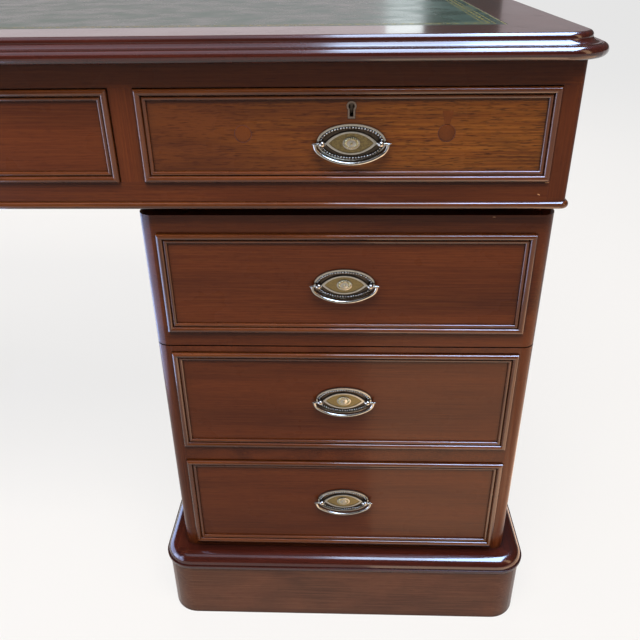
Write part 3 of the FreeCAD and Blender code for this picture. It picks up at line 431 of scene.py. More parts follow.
def planed_wood(name, axis, deep, body):
    """Bare planed wood with its grain along an axis: matt, with soft year lines."""
    material = new_material(f"{name}_{AXES[axis].lower()}")
    tree = material.node_tree
    # Year lines stand about 4 mm apart.
    scaled = add_node(tree, "ShaderNodeVectorMath", {0: grain_place(tree, axis), 1: per_metre(160, 4)},
                      operation="MULTIPLY").outputs[0]
    lines = add_node(tree, "ShaderNodeTexNoise",
                     {"Vector": scaled, "Scale": 1.0, "Detail": 5.0, "Distortion": 0.4}).outputs[0]
    share = add_node(tree, "ShaderNodeMapRange", {0: lines, 1: 0.36, 2: 0.6}).outputs[0]
    base = add_node(tree, "ShaderNodeMix", {0: share, 6: deep, 7: body},
                    data_type="RGBA").outputs[2]
    relief = add_node(tree, "ShaderNodeBump",
                      {"Strength": 0.2, "Distance": 0.2 * MM, "Height": lines})
    finish_surface(tree, {"Base Color": base, "Roughness": 0.62, "Normal": relief.outputs[0],
                          "Specular IOR Level": 0.3})
    return material


def planed_oak():
    """Three cuts of planed oak for drawer linings and runners."""
    c = colours()
    return three_cuts(planed_wood, "planed_oak", c["oak_deep"], c["oak"])


def planed_pine():
    """Planed pine for the ground of the top."""
    c = colours()
    return planed_wood("planed_pine", X, c["pine_deep"], c["pine"])


def glazed_skiver():
    """Dyed and glazed sheepskin: a thin glossy green skin with a fine pebbled grain."""
    c = colours()
    material = new_material("glazed_skiver")
    tree = material.node_tree
    place = add_node(tree, "ShaderNodeTexCoord").outputs["Object"]
    # Skiver grain is about 0.5 mm; it is drawn at 1.6 mm so that it shows.
    pebble = add_node(tree, "ShaderNodeTexVoronoi",
                      {"Vector": place, "Scale": 1 / (1.6 * MM)}).outputs["Distance"]
    handling = add_node(tree, "ShaderNodeTexNoise",
                        {"Vector": place, "Scale": 1 / (40 * MM), "Detail": 6.0}).outputs[0]
    worn = add_node(tree, "ShaderNodeMapRange",
                    {0: handling, 1: 0.3, 2: 0.75, 3: 0.0, 4: 0.4}).outputs[0]
    base = add_node(tree, "ShaderNodeMix", {0: worn, 6: c["leather"], 7: c["leather_worn"]},
                    data_type="RGBA").outputs[2]
    dulled = add_node(tree, "ShaderNodeMapRange",
                      {0: handling, 1: 0.3, 2: 0.7, 3: 0.22, 4: 0.34}).outputs[0]
    relief = add_node(tree, "ShaderNodeBump",
                      {"Strength": 0.15, "Distance": 0.1 * MM, "Height": pebble})
    finish_surface(tree, {"Base Color": base, "Roughness": dulled, "Normal": relief.outputs[0],
                          "IOR": 1.5})
    return material


def rubbed_gold_leaf():
    """Gold leaf pressed in with a hot roll: bright metal, rubbed through to the green in places."""
    c = colours()
    material = new_material("rubbed_gold_leaf")
    tree = material.node_tree
    place = add_node(tree, "ShaderNodeTexCoord").outputs["Object"]
    rubbing = add_node(tree, "ShaderNodeTexNoise",
                       {"Vector": place, "Scale": 1 / (6 * MM), "Detail": 5.0}).outputs[0]
    left = add_node(tree, "ShaderNodeMapRange", {0: rubbing, 1: 0.36, 2: 0.5}).outputs[0]
    base = add_node(tree, "ShaderNodeMix", {0: left, 6: c["leather_worn"], 7: c["gilt"]},
                    data_type="RGBA").outputs[2]
    finish_surface(tree, {"Base Color": base, "Metallic": left, "Roughness": 0.36})
    return material


def handled_brass(name, bright, dark, gloss, reach):
    """Brass cast and polished long ago: rubbed bright where hands reach, tarnished in the hollows."""
    material = new_material(name)
    tree = material.node_tree
    place = add_node(tree, "ShaderNodeTexCoord").outputs["Object"]
    open_air = add_node(tree, "ShaderNodeAmbientOcclusion", {"Distance": reach},
                        samples=8).outputs["AO"]
    # Tarnish spots are about 3 mm across.
    spots = add_node(tree, "ShaderNodeTexNoise",
                     {"Vector": place, "Scale": 1 / (3 * MM), "Detail": 5.0}).outputs[0]
    spotted = add_node(tree, "ShaderNodeMapRange",
                       {0: spots, 1: 0.3, 2: 0.7, 3: -0.2, 4: 0.12}).outputs[0]
    rubbed = add_node(tree, "ShaderNodeMath", {0: open_air, 1: spotted}, operation="ADD").outputs[0]
    open_share = add_node(tree, "ShaderNodeMapRange", {0: rubbed, 1: 0.45, 2: 0.95}).outputs[0]
    base = add_node(tree, "ShaderNodeMix", {0: open_share, 6: dark, 7: bright},
                    data_type="RGBA").outputs[2]
    dulled = add_node(tree, "ShaderNodeMapRange", {0: open_share, 3: 0.5, 4: gloss}).outputs[0]
    finish_surface(tree, {"Base Color": base, "Metallic": 1.0, "Roughness": dulled})
    return material


def polished_cast_brass():
    """Rims, bosses, posts and bails: pale polished brass over dark hollows."""
    c = colours()
    return handled_brass("polished_cast_brass", c["brass"], c["brass_dark"], 0.2, 2 * MM)


def tarnished_brass():
    """The sunk ground behind the beads and the locks: brown tarnish that polish never reaches."""
    c = colours()
    return handled_brass("tarnished_brass", c["brass_dark"], c["grime"], 0.4, 2 * MM)


def rubbed_brass_relief():
    """Petals and button of the rosette: high parts rubbed pale, the rest as yellow as the field."""
    c = colours()
    return handled_brass("rubbed_brass_relief", c["brass_rubbed"], c["brass_field"], 0.26, 1.5 * MM)


def dulled_brass():
    """Keyhole plates: thin brass that was never lacquered, gone an even dull brown."""
    c = colours()
    return handled_brass("dulled_brass", c["brass_dull"], c["brass_dark"], 0.42, 2 * MM)


def matted_brass():
    """The dished field: struck with a matting punch, so it glows yellow without a sharp shine."""
    c = colours()
    material = new_material("matted_brass")
    tree = material.node_tree
    place = add_node(tree, "ShaderNodeTexCoord").outputs["Object"]
    # Punch marks are about 0.4 mm; they are drawn at 1 mm so that they show.
    punches = add_node(tree, "ShaderNodeTexNoise",
                       {"Vector": place, "Scale": 1 / (1.0 * MM), "Detail": 3.0}).outputs[0]
    share = add_node(tree, "ShaderNodeMapRange",
                     {0: punches, 1: 0.35, 2: 0.6, 3: 0.35, 4: 1.0}).outputs[0]
    base = add_node(tree, "ShaderNodeMix", {0: share, 6: c["brass_dark"], 7: c["brass_field"]},
                    data_type="RGBA").outputs[2]
    relief = add_node(tree, "ShaderNodeBump",
                      {"Strength": 0.4, "Distance": 0.2 * MM, "Height": punches})
    finish_surface(tree, {"Base Color": base, "Metallic": 1.0, "Roughness": 0.42,
                          "Normal": relief.outputs[0]})
    return material


def fresh_mahogany():
    """Broken wood in a chip: dry and pale, with no polish."""
    c = colours()
    return planed_wood("fresh_mahogany", X, c["moulding_light"], c["bare_wood"])


def old_glue():
    """Hide glue gone black round the plugs: a matt dark line."""
    c = colours()
    return planed_wood("old_hide_glue", X, c["mahogany_deep"], c["mahogany_body"])


def plug_mahogany():
    """Plugs turned from other mahogany and polished over: redder, with their grain upright."""
    c = colours()
    return polished_wood("plug_mahogany", Z, c["veneer_deep"], c["plug"], c["veneer_body"],
                         0.24, 0.25, 0.08)


# Share of plain white in the paper as it is seen; the rest is lit and keeps the shadow.
PAPER_WHITE = 0.78


def studio_paper():
    """Pale studio paper: matt, seen nearly white with a soft shadow, also where the desk mirrors it."""
    c = colours()
    material = new_material("studio_paper")
    tree = material.node_tree
    place = add_node(tree, "ShaderNodeTexCoord").outputs["Object"]
    # Paper cockles over about 700 mm.
    cockle = add_node(tree, "ShaderNodeTexNoise",
                      {"Vector": place, "Scale": 1 / (700 * MM), "Detail": 2.0}).outputs[0]
    relief = add_node(tree, "ShaderNodeBump", {"Strength": 0.05, "Distance": 2 * MM, "Height": cockle})
    paper = add_node(tree, "ShaderNodeBsdfPrincipled",
                     {"Base Color": c["floor"], "Roughness": 0.9, "Normal": relief.outputs[0],
                      "Specular IOR Level": 0.1})
    white = add_node(tree, "ShaderNodeEmission", {"Strength": 1.0})
    rays = add_node(tree, "ShaderNodeLightPath").outputs
    mirrored = add_node(tree, "ShaderNodeMath",
                        {0: rays["Is Glossy Ray"], 1: rays["Is Transmission Ray"]},
                        operation="MAXIMUM").outputs[0]
    seen = add_node(tree, "ShaderNodeMath", {0: rays["Is Camera Ray"], 1: mirrored},
                    operation="MAXIMUM").outputs[0]
    share = add_node(tree, "ShaderNodeMath", {0: seen, 1: PAPER_WHITE}, operation="MULTIPLY").outputs[0]
    mixed = add_node(tree, "ShaderNodeMixShader", {0: share, 1: paper.outputs[0], 2: white.outputs[0]})
    add_node(tree, "ShaderNodeOutputMaterial", {"Surface": mixed.outputs[0]})
    return material


# Stage

CAMERA_FROM_FRIEZE_END = 222.2 * MM
CAMERA_FROM_FRIEZE_FRONT = 670.3 * MM
CAMERA_HEIGHT = 850.2 * MM
CAMERA_PAN, CAMERA_TILT, CAMERA_ROLL = (math.radians(d) for d in (2.33, 28.98, -0.83))
SENSOR_WIDTH = 36.0
FOCAL_LENGTH = 38.68
FLOOR_HALF = 30.0
EVEN_LIGHT = 0.07


def place_camera():
    """The camera at the photograph's place, in front of the right pedestal and above the top."""
    low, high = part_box("frieze_ends")
    data = bpy.data.cameras.new("camera")
    data.sensor_width = SENSOR_WIDTH
    data.lens = FOCAL_LENGTH
    data.clip_start = 10 * MM
    camera = bpy.data.objects.new("camera", data)
    bpy.context.scene.collection.objects.link(camera)
    spot = Vector((high.x - CAMERA_FROM_FRIEZE_END, low.y - CAMERA_FROM_FRIEZE_FRONT, CAMERA_HEIGHT))
    camera.matrix_world = (
        Matrix.Translation(spot)
        @ Matrix.Rotation(CAMERA_PAN, 4, "Z")
        @ Matrix.Rotation(math.pi / 2 - CAMERA_TILT, 4, "X")
        @ Matrix.Rotation(CAMERA_ROLL, 4, "Z")
    )
    bpy.context.scene.camera = camera


class Lamp(NamedTuple):
    """A soft rectangular lamp: spot, target and size in metres, watts, colour and use."""
    name: str
    spot: tuple
    target: tuple
    width: float
    height: float
    power: float
    hex_colour: str
    mirrored: bool = True
    lighting: bool = True


MIDDLE = (0.5, -0.35, 0.45)
# Fills that light the desk and show in no reflection.
FILL = {"hex_colour": "#fff3e4", "mirrored": False}
# Cards and ceiling panels that only the polish and the brass mirror.
CARD = {"lighting": False}
LAMPS = (
    Lamp("front_fill", (0.6, -1.55, 2.75), MIDDLE, 2.4, 1.2, 160.0, **FILL),
    Lamp("ceiling_right", (1.475, -0.45, 2.7), (1.475, -0.45, 0.0), 0.95, 2.6, 340.0, "#b0d0ff", **CARD),
    Lamp("ceiling_middle", (0.75, -0.45, 2.7), (0.75, -0.45, 0.0), 0.5, 2.6, 84.0, "#c4dcff", **CARD),
    Lamp("ceiling_left", (-0.25, -0.45, 2.7), (-0.25, -0.45, 0.0), 1.5, 2.6, 18.0, "#dfe6ff"),
    Lamp("right_strip", (2.5, -1.3, 1.5), MIDDLE, 0.5, 1.8, 12.0, "#ffd3a6"),
    Lamp("left_strip", (-1.7, -1.9, 1.3), MIDDLE, 0.45, 1.6, 16.0, "#bcd2ff"),
    Lamp("right_card", (1.45, -0.5, 0.02), (1.45, -0.5, 1.0), 1.1, 1.0, 6.4, "#ffb676", **CARD),
    Lamp("front_card", (0.8, -0.75, 0.02), (0.8, -0.75, 1.0), 0.4, 0.6, 2.0, "#ffdcb4", **CARD),
    Lamp("left_card", (-0.2, -0.35, 0.21), (0.4, -0.35, 0.21), 1.3, 0.4, 11.0, "#b4caff", **CARD),
    Lamp("far_left_card", (-1.4, -0.85, 0.36), (0.0, -0.85, 0.36), 0.8, 0.7, 14.0, "#c9d8ff", **CARD),
    Lamp("left_fill", (-2.6, -0.1, 2.0), (0.0, -0.1, 0.4), 1.6, 1.6, 45.0, **FILL),
    Lamp("rear_fill", (0.0, 2.7, 2.3), (0.0, 0.0, 0.4), 2.4, 1.2, 75.0, **FILL),
    Lamp("rear_window", (-0.475, 2.6, 1.25), (-0.475, 0.0, 1.25), 2.45, 1.5, 8.0, "#f7ebf0"),
    Lamp("side_pane", (1.6, 2.6, 1.25), (1.6, 0.0, 1.25), 0.6, 1.5, 0.9, "#f7ebf0"),
    Lamp("rear_pane", (0.84, 2.6, 1.25), (0.84, 0.0, 1.25), 0.18, 1.5, 1.3, "#e8f0f2"),
)


def place_lights():
    """Hangs the fills, ceiling panels, panes and cards, each turned to its target."""
    for lamp in LAMPS:
        data = bpy.data.lights.new(lamp.name, "AREA")
        data.shape = "RECTANGLE"
        data.size = lamp.width
        data.size_y = lamp.height
        data.energy = lamp.power
        data.color = linear(lamp.hex_colour)
        light = bpy.data.objects.new(lamp.name, data)
        light.visible_camera = False
        light.visible_glossy = lamp.mirrored
        light.visible_diffuse = lamp.lighting
        facing = (Vector(lamp.target) - Vector(lamp.spot)).to_track_quat("-Z", "Y")
        light.matrix_world = Matrix.Translation(lamp.spot) @ facing.to_matrix().to_4x4()
        bpy.context.scene.collection.objects.link(light)


def place_floor():
    """A wide sheet of paper under the desk."""
    shape = bmesh.new()
    bmesh.ops.create_grid(shape, x_segments=8, y_segments=8, size=FLOOR_HALF)
    mesh = bpy.data.meshes.new("studio_floor")
    shape.to_mesh(mesh)
    shape.free()
    mesh.materials.append(studio_paper())
    floor = bpy.data.objects.new("studio_floor", mesh)
    bpy.context.scene.collection.objects.link(floor)


def light_world():
    """Faint even light from all round, behind a backdrop that only the camera sees as white."""
    world = bpy.data.worlds.new("studio")
    bpy.context.scene.world = world
    world.use_nodes = True
    tree = world.node_tree
    tree.nodes.clear()
    even = add_node(tree, "ShaderNodeBackground",
                    {"Color": (*linear("#fffdf9"), 1.0), "Strength": EVEN_LIGHT})
    white = add_node(tree, "ShaderNodeBackground", {"Color": (*linear("#ffffff"), 1.0), "Strength": 1.0})
    seen = add_node(tree, "ShaderNodeLightPath").outputs["Is Camera Ray"]
    mixed = add_node(tree, "ShaderNodeMixShader", {0: seen, 1: even.outputs[0], 2: white.outputs[0]})
    add_node(tree, "ShaderNodeOutputWorld", {"Surface": mixed.outputs[0]})


class DESK_OT_stage(bpy.types.Operator):
    """Place the camera, the lamps, the paper floor and the even light round the desk"""
    bl_idname = "desk.stage"
    bl_label = "Stage"

    def execute(self, context):
        context.scene.view_settings.view_transform = "Standard"
        place_camera()
        place_lights()
        place_floor()
        light_world()
        return {"FINISHED"}


# Top and leather

class DESK_OT_top(bpy.types.Operator):
    """Polish the border and nosing of the top and plane its ground"""
    bl_idname = "desk.top"
    bl_label = "Top"

    def execute(self, context):
        woods = waxed_top_mahogany()
        grain_round_frame("top_border", woods, X, Y)
        grain_round_frame("top_nosing", woods, X, Y)
        dress("top_panel", [planed_pine()])
        return {"FINISHED"}


LEAF_POINTS = 5
LEAF_SLIMNESS = 0.38
LEAF_LEAN = math.radians(32)
DOT_POINTS = 8
DOT_SHARE = 0.12
GILT_THICKNESS = 0.04 * MM


def inset_corners(low, high, gap):
    """The four corners of a rectangle that lies this far inside the edge of the leather."""
    return [Vector(spot) for spot in (
        (low.x + gap, low.y + gap, 0.0), (high.x - gap, low.y + gap, 0.0),
        (high.x - gap, high.y - gap, 0.0), (low.x + gap, high.y - gap, 0.0))]


def add_fillet(shape, low, high, inset, width):
    """A plain gilt line round the leather, made of four mitred strips."""
    outer, inner = (
        [shape.verts.new((corner.x, corner.y, high.z)) for corner in inset_corners(low, high, gap)]
        for gap in (inset, inset + width))
    for i in range(4):
        j = (i + 1) % 4
        shape.faces.new((outer[i], outer[j], inner[j], inner[i]))


def add_outline(shape, points, place, level):
    """A flat gilt shape of points turned and moved to its place."""
    corners = [place @ Vector((*point, 0.0)) for point in points]
    shape.faces.new([shape.verts.new((c.x, c.y, level)) for c in corners])


def leaf_outline(reach):
    """A pointed oval with its tips on the X axis."""
    half = reach / 2
    top = [(half * math.cos(a), half * LEAF_SLIMNESS * math.sin(a) ** 2)
           for a in (math.pi * i / LEAF_POINTS for i in range(LEAF_POINTS + 1))]
    bottom = [(x, -y) for x, y in reversed(top[1:-1])]
    return top + bottom


def add_leaf_run(shape, start, end, level, pitch, leaf):
    """A run of leaning leaves with a dot between each pair, from one corner to the next."""
    run = end - start
    heading = Matrix.Rotation(math.atan2(run.y, run.x), 4, "Z")
    count = round(run.length / pitch)
    dot = [(leaf * DOT_SHARE * math.cos(a), leaf * DOT_SHARE * math.sin(a))
           for a in (2 * math.pi * i / DOT_POINTS for i in range(DOT_POINTS))]
    for i in range(count):
        spot = Matrix.Translation(start + run * (i + 0.5) / count) @ heading
        lean = Matrix.Rotation(LEAF_LEAN if i % 2 else -LEAF_LEAN, 4, "Z")
        add_outline(shape, leaf_outline(leaf), spot @ lean, level)
        between = Matrix.Translation(start + run * i / count) @ heading
        add_outline(shape, dot, between, level)


class DESK_OT_leather(bpy.types.Operator):
    """Glaze the writing leather and press the gilt lines and leaf roll into it"""
    bl_idname = "desk.leather"
    bl_label = "Leather"

    def execute(self, context):
        dress("leather_inset", [glazed_skiver()])
        low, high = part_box("leather_inset")
        size = sizes()
        shape = bmesh.new()
        band_end = size.tooling_inset + size.tooling_width
        for inset in (size.fillet, size.tooling_inset, band_end):
            add_fillet(shape, low, high, inset, size.fillet)
        middle = size.tooling_inset + (size.tooling_width + size.fillet) / 2
        corners = inset_corners(low, high, middle)
        for start, end in zip(corners, corners[1:] + corners[:1]):
            add_leaf_run(shape, start, end, high.z, size.leaf_pitch, size.leaf)
        tooling = new_piece("gilt_tooling", shape, rubbed_gold_leaf(), "carcass")
        pressed = tooling.modifiers.new("leaf_thickness", "SOLIDIFY")
        pressed.thickness = GILT_THICKNESS
        pressed.offset = 1.0
        return {"FINISHED"}


# Carcass

class DESK_OT_frieze(bpy.types.Operator):
    """Polish the frieze round its drawers and plane its runners"""
    bl_idname = "desk.frieze"
    bl_label = "Frieze"

    def execute(self, context):
        woods = french_polished_mahogany()
        dress("frieze_ends", [woods[Z]])
        grain_along_boards("frieze_front_frame", woods, (X, Z))
        grain_along_boards("frieze_back", woods)
        grain_round_frame("frieze_bead", stuck_mahogany_moulding(), X, Y)
        grain_along_boards("frieze_runners", planed_oak())
        return {"FINISHED"}


class DESK_OT_pedestals(bpy.types.Operator):
    """Polish the sides, backs, boards and rails of both pedestals"""
    bl_idname = "desk.pedestals"
    bl_label = "Pedestals"

    def execute(self, context):
        woods = french_polished_mahogany()
        for side in PEDESTALS:
            # The sides are veneered with the grain upright, round the corner onto the front.
            dress(f"{side}_pedestal_sides", [woods[Z]])
            for name in ("back", "boards", "rails"):
                grain_along_boards(f"{side}_pedestal_{name}", woods)
        return {"FINISHED"}


class DESK_OT_plinths(bpy.types.Operator):
    """Give both plinths their scuffed polish, and their mouldings the deep polish of the top"""
    bl_idname = "desk.plinths"
    bl_label = "Plinths"

    def execute(self, context):
        scuffed, waxed = worn_mahogany(), waxed_top_mahogany()
        for side in PEDESTALS:
            grain_round_frame(f"{side}_plinth_boards", scuffed, X, Y)
            grain_round_frame(f"{side}_plinth_moulding", waxed, X, Y)
        return {"FINISHED"}


# Drawers

MOULDING_PROUD = 5.6 * MM
FLUSH = 0.05 * MM


def drawer_face(drawer):
    """Y of the board behind a drawer's planted moulding."""
    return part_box(f"{drawer}_drawer_front")[0].y + MOULDING_PROUD


class DESK_OT_drawer_fronts(bpy.types.Operator):
    """Veneer the drawer fronts and polish the mouldings planted on them"""
    bl_idname = "desk.drawer_fronts"
    bl_label = "Drawer fronts"

    def execute(self, context):
        mouldings = stuck_mahogany_moulding()
        golden, red = golden_sawn_veneer(), french_polished_mahogany()[X]
        for drawer in DRAWERS:
            board = golden if drawer in ("left_frieze", "right_frieze") else red
            node = f"{drawer}_drawer_front"
            low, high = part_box(node)
            face = drawer_face(drawer)
            for polygon in dress(node, mouldings + [board]).polygons:
                if polygon.center.y > face - FLUSH:
                    polygon.material_index = len(mouldings)
                else:
                    polygon.material_index = runs_along(polygon.center, low, high, X, Z)
        return {"FINISHED"}


class DESK_OT_drawer_boxes(bpy.types.Operator):
    """Plane the oak drawer boxes"""
    bl_idname = "desk.drawer_boxes"
    bl_label = "Drawer boxes"

    def execute(self, context):
        woods = planed_oak()
        for drawer in DRAWERS:
            grain_along_boards(f"{drawer}_drawer_box", woods)
        return {"FINISHED"}


# Handles

PLATE_HALF_HEIGHT = 18.5 * MM
PLATE_GROUND = 1.2 * MM
FIELD_LEVEL = 2.5 * MM
ROSETTE_HALF_WIDTH = 8.4 * MM
ROSETTE_HALF_HEIGHT = 6.2 * MM
ROSETTE_EDGE = 0.9 * MM
ROSETTE_PEAK = 1.7 * MM
PETAL_SPREAD = 0.7
PETAL_HALF_THICK = 0.9 * MM
BUTTON_FLATNESS = 0.6
POST_HALF_SPACING = 28.5 * MM
POST_ROOM = 3.0 * MM
LEVEL_STEP = 0.05 * MM
OVAL_STEPS = 720
BRIGHT, DARK, MATTED, DULL = range(4)
FACES_OUT = -0.99


def handle_node(drawer):
    """The node that holds a drawer's handle plate."""
    return f"{drawer}_handle_and_lock" if drawer in LOCKED else f"{drawer}_handle_plate"


def handle_place(drawer):
    """The middle of a handle, on the drawer's face, with Z outward."""
    joint = next(j for j in frame["joints"] if j["name"] == f"{drawer}_bail_hinge")
    x, _, z = joint["pos_m"]
    return Matrix.Translation((x, drawer_face(drawer), z)) @ Matrix.Rotation(math.pi / 2, 4, "X")


def oval_spots(half_width, half_height, pitch):
    """Evenly spaced points round an oval."""
    fine = [Vector((half_width * math.cos(a), half_height * math.sin(a), 0.0))
            for a in (2 * math.pi * i / OVAL_STEPS for i in range(OVAL_STEPS))]
    steps = [(fine[i - 1] - fine[i]).length for i in range(OVAL_STEPS)]
    gap = sum(steps) / round(sum(steps) / pitch)
    spots = []
    travelled = gap
    for point, step in zip(fine, steps):
        travelled += step
        if travelled >= gap:
            spots.append(point)
            travelled -= gap
    return spots


def bead_ring():
    """Round beads on the sunk ground of a plate, with none under the posts."""
    size = sizes()
    shape = bmesh.new()
    for spot in oval_spots(size.bead_half_width, size.bead_half_height, size.bead_pitch):
        from_post = (Vector((abs(spot.x), spot.y)) - Vector((POST_HALF_SPACING, 0.0))).length
        if from_post > POST_ROOM:
            place = Matrix.Translation(spot + Vector((0.0, 0.0, PLATE_GROUND + size.bead / 4)))
            bmesh.ops.create_uvsphere(shape, u_segments=8, v_segments=6, radius=size.bead / 2,
                                      matrix=place)
    return shape


def rosette():
    """Petals that lean on the plate's domed middle, with a button on its peak."""
    size = sizes()
    shape = bmesh.new()
    for i in range(size.petals):
        turn = 2 * math.pi * i / size.petals
        spot = Vector((ROSETTE_HALF_WIDTH * PETAL_SPREAD * math.cos(turn),
                       ROSETTE_HALF_HEIGHT * PETAL_SPREAD * math.sin(turn), FIELD_LEVEL + ROSETTE_EDGE))
        heading = math.atan2(spot.y, spot.x)
        place = (Matrix.Translation(spot) @ Matrix.Rotation(heading, 4, "Z")
                 @ Matrix.Diagonal((size.petal_length / 2, size.petal_width / 2, PETAL_HALF_THICK, 1.0)))
        bmesh.ops.create_uvsphere(shape, u_segments=10, v_segments=6, radius=1.0, matrix=place)
    peak = (Matrix.Translation((0.0, 0.0, FIELD_LEVEL + ROSETTE_PEAK))
            @ Matrix.Diagonal((1.0, 1.0, BUTTON_FLATNESS, 1.0)))
    bmesh.ops.create_uvsphere(shape, u_segments=12, v_segments=8, radius=size.rosette_centre / 2,
                              matrix=peak)
    return shape


def smooth(piece):
    """Shades a piece as round."""
    for polygon in piece.data.polygons:
        polygon.use_smooth = True


class DESK_OT_handles(bpy.types.Operator):
    """Finish the handle plates by depth and add their beads and rosettes"""
    bl_idname = "desk.handles"
    bl_label = "Handle plates"

    def execute(self, context):
        finishes = [polished_cast_brass(), tarnished_brass(), matted_brass(), dulled_brass()]
        relief = rubbed_brass_relief()
        for drawer in DRAWERS:
            face = drawer_face(drawer)
            place = handle_place(drawer)
            for polygon in dress(handle_node(drawer), finishes).polygons:
                depth = face - polygon.center.y
                outward = polygon.normal.y < FACES_OUT
                if polygon.center.z > place.translation.z + PLATE_HALF_HEIGHT:
                    polygon.material_index = DULL
                elif depth < 0.0 or outward and abs(depth - PLATE_GROUND) < LEVEL_STEP:
                    polygon.material_index = DARK
                elif outward and abs(depth - FIELD_LEVEL) < LEVEL_STEP:
                    polygon.material_index = MATTED
                else:
                    polygon.material_index = BRIGHT
            smooth(new_piece(f"{drawer}_handle_beads", bead_ring(), finishes[BRIGHT], f"{drawer}_drawer",
                             place))
            smooth(new_piece(f"{drawer}_handle_rosette", rosette(), relief, f"{drawer}_drawer",
                             place))
        return {"FINISHED"}


class DESK_OT_bails(bpy.types.Operator):
    """Finish the drop bails and the lock bolts"""
    bl_idname = "desk.bails"
    bl_label = "Bails and bolts"

    def execute(self, context):
        bright = polished_cast_brass()
        for drawer in DRAWERS:
            dress(f"{drawer}_handle_bail", [bright])
        for drawer in LOCKED:
            dress(f"{drawer}_lock_bolt", [bright])
        return {"FINISHED"}


# Old repairs and wear

PLUGS_FROM_MIDDLE = (-99.6 * MM, 97.9 * MM)
PLUG_HEIGHT = 685.0 * MM
PLUG_PROUD = 0.12 * MM
PLUG_SEGMENTS = 32
# Reach and height of the plug's face, as shares of its radius and its height above the board.
PLUG_FACE = ((0.96, 1.0), (0.5, 1.4))
GLUE_LINE = 0.6 * MM
GLUE_RINGS = 2
# Corners of the fishtail patch, in millimetres from the middle of the plug below it.
TAIL = ((-2.4, 8.0), (2.4, 8.0), (5.4, 21.0), (-5.4, 21.0))


def plug_shape(radius):
    """A low turned disc with an eased edge, and the glue line round it as its second material."""
    shape = bmesh.new()
    rings = [(radius + GLUE_LINE, 0.0), (radius + GLUE_LINE, PLUG_PROUD / 2), (radius, PLUG_PROUD / 2)]
    rings += [(radius * reach, PLUG_PROUD * rise) for reach, rise in PLUG_FACE]
    loops = []
    for reach, level in rings:
        loops.append([shape.verts.new((reach * math.cos(a), reach * math.sin(a), level))
                      for a in (2 * math.pi * i / PLUG_SEGMENTS for i in range(PLUG_SEGMENTS))])
    for number, (lower, upper) in enumerate(zip(loops, loops[1:])):
        for i in range(PLUG_SEGMENTS):
            j = (i + 1) % PLUG_SEGMENTS
            face = shape.faces.new((lower[i], lower[j], upper[j], upper[i]))
            face.material_index = 1 if number < GLUE_RINGS else 0
    shape.faces.new(loops[-1])
    shape.faces.new(list(reversed(loops[0])))
    return shape


def flat_patch(points, thickness):
    """A thin flat piece of wood with this outline."""
    shape = bmesh.new()
    lower = [shape.verts.new((x, y, 0.0)) for x, y in points]
    upper = [shape.verts.new((x, y, thickness)) for x, y in points]
    shape.faces.new(list(reversed(lower)))
    shape.faces.new(upper)
    for i in range(len(points)):
        j = (i + 1) % len(points)
        shape.faces.new((lower[i], lower[j], upper[j], upper[i]))
    return shape


class DESK_OT_knob_plugs(bpy.types.Operator):
    """Fill the two old knob holes in the right frieze drawer, one with a fishtail patch above it"""
    bl_idname = "desk.knob_plugs"
    bl_label = "Knob plugs"

    def execute(self, context):
        low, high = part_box("right_frieze_drawer_front")
        middle = (low.x + high.x) / 2
        face = drawer_face("right_frieze")
        wood, glue = plug_mahogany(), old_glue()
        upright = Matrix.Rotation(math.pi / 2, 4, "X")
        for i, offset in enumerate(PLUGS_FROM_MIDDLE):
            place = Matrix.Translation((middle + offset, face, PLUG_HEIGHT)) @ upright
            plug = new_piece(f"right_frieze_knob_plug_{i + 1}", plug_shape(sizes().plug_diameter / 2), wood,
                             "right_frieze_drawer", place)
            plug.data.materials.append(glue)
        tail = flat_patch([(x * MM, y * MM) for x, y in TAIL], PLUG_PROUD / 2)
        new_piece("right_frieze_fishtail_patch", tail, wood, "right_frieze_drawer",
                  place)
        return {"FINISHED"}


CHIP_POINTS = 7
CHIP_THICK = 0.1 * MM


def chip_shape(seed, width, height):
    """An irregular flake of bare wood."""
    draw = random.Random(seed)
    points = []
    for i in range(CHIP_POINTS):
        turn = 2 * math.pi * i / CHIP_POINTS
        reach = draw.uniform(0.6, 1.0)
        points.append((width / 2 * reach * math.cos(turn), height / 2 * reach * math.sin(turn)))
    return flat_patch(points, CHIP_THICK)


class Chip(NamedTuple):
    """A place where the polish is broken: body, spot and size in millimetres, and lean in degrees."""
    name: str
    body: str
    spot: tuple
    width: float
    height: float
    lean: float


CHIPS = (
    Chip("top_drawer_chip", "right_top_drawer", (711.3, -343.5, 594.1), 4.0, 1.2, 0.0),
    Chip("frieze_rail_scratch", "carcass", (749.5, -359.0, 623.6), 4.2, 1.1, -25.0),
    Chip("frieze_corner_chip", "carcass", (755.9, -359.0, 636.0), 5.0, 1.2, 0.0),
)


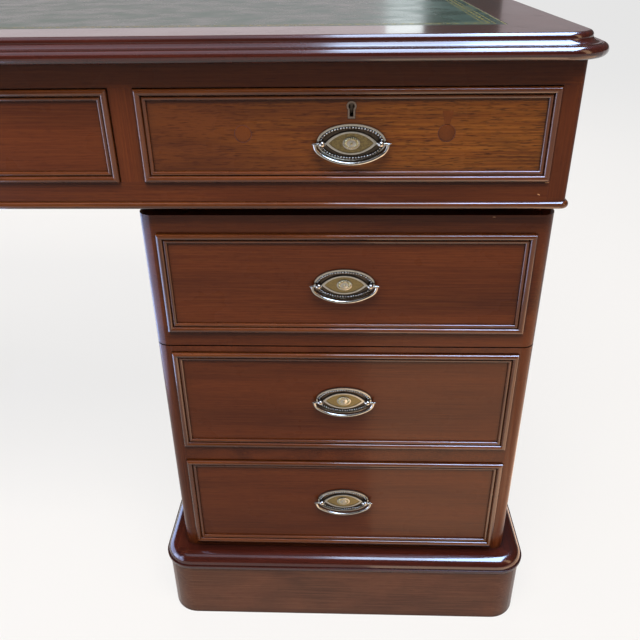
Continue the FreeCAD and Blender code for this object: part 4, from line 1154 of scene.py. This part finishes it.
class DESK_OT_wear(bpy.types.Operator):
    """Break the polish in three small chips near the right end of the front"""
    bl_idname = "desk.wear"
    bl_label = "Chips"

    def execute(self, context):
        wood = fresh_mahogany()
        for seed, chip in enumerate(CHIPS):
            place = (Matrix.Translation([v * MM for v in chip.spot]) @ Matrix.Rotation(math.pi / 2, 4, "X")
                     @ Matrix.Rotation(math.radians(chip.lean), 4, "Z"))
            new_piece(chip.name, chip_shape(seed, chip.width * MM, chip.height * MM), wood, chip.body,
                      place)
        return {"FINISHED"}


class DeskPanel(bpy.types.Panel):
    """Lists the steps that dress the desk"""
    bl_idname = "DESK_PT_steps"
    bl_label = "Pedestal desk"
    bl_space_type = "VIEW_3D"
    bl_region_type = "UI"
    bl_category = "Desk"

    def draw(self, context):
        for step in STEPS:
            self.layout.operator(step.bl_idname)


STEPS = (
    DESK_OT_stage, DESK_OT_top, DESK_OT_leather, DESK_OT_frieze, DESK_OT_pedestals, DESK_OT_plinths,
    DESK_OT_drawer_fronts, DESK_OT_drawer_boxes, DESK_OT_handles, DESK_OT_bails, DESK_OT_knob_plugs,
    DESK_OT_wear,
)
CLASSES = (DeskColours, DeskSizes, *STEPS, DeskPanel)


def register():
    """Registers the classes and the desk's settings."""
    for kind in CLASSES:
        bpy.utils.register_class(kind)
    bpy.types.Scene.desk_colours = PointerProperty(type=DeskColours)
    bpy.types.Scene.desk_sizes = PointerProperty(type=DeskSizes)


def unregister():
    """Removes the settings and the classes."""
    del bpy.types.Scene.desk_sizes
    del bpy.types.Scene.desk_colours
    for kind in reversed(CLASSES):
        bpy.utils.unregister_class(kind)


def main():
    """Dresses the desk step by step."""
    register()
    bpy.ops.desk.stage()
    bpy.ops.desk.top()
    bpy.ops.desk.leather()
    bpy.ops.desk.frieze()
    bpy.ops.desk.pedestals()
    bpy.ops.desk.plinths()
    bpy.ops.desk.drawer_fronts()
    bpy.ops.desk.drawer_boxes()
    bpy.ops.desk.handles()
    bpy.ops.desk.bails()
    bpy.ops.desk.knob_plugs()
    bpy.ops.desk.wear()


if __name__ == "__main__":
    main()
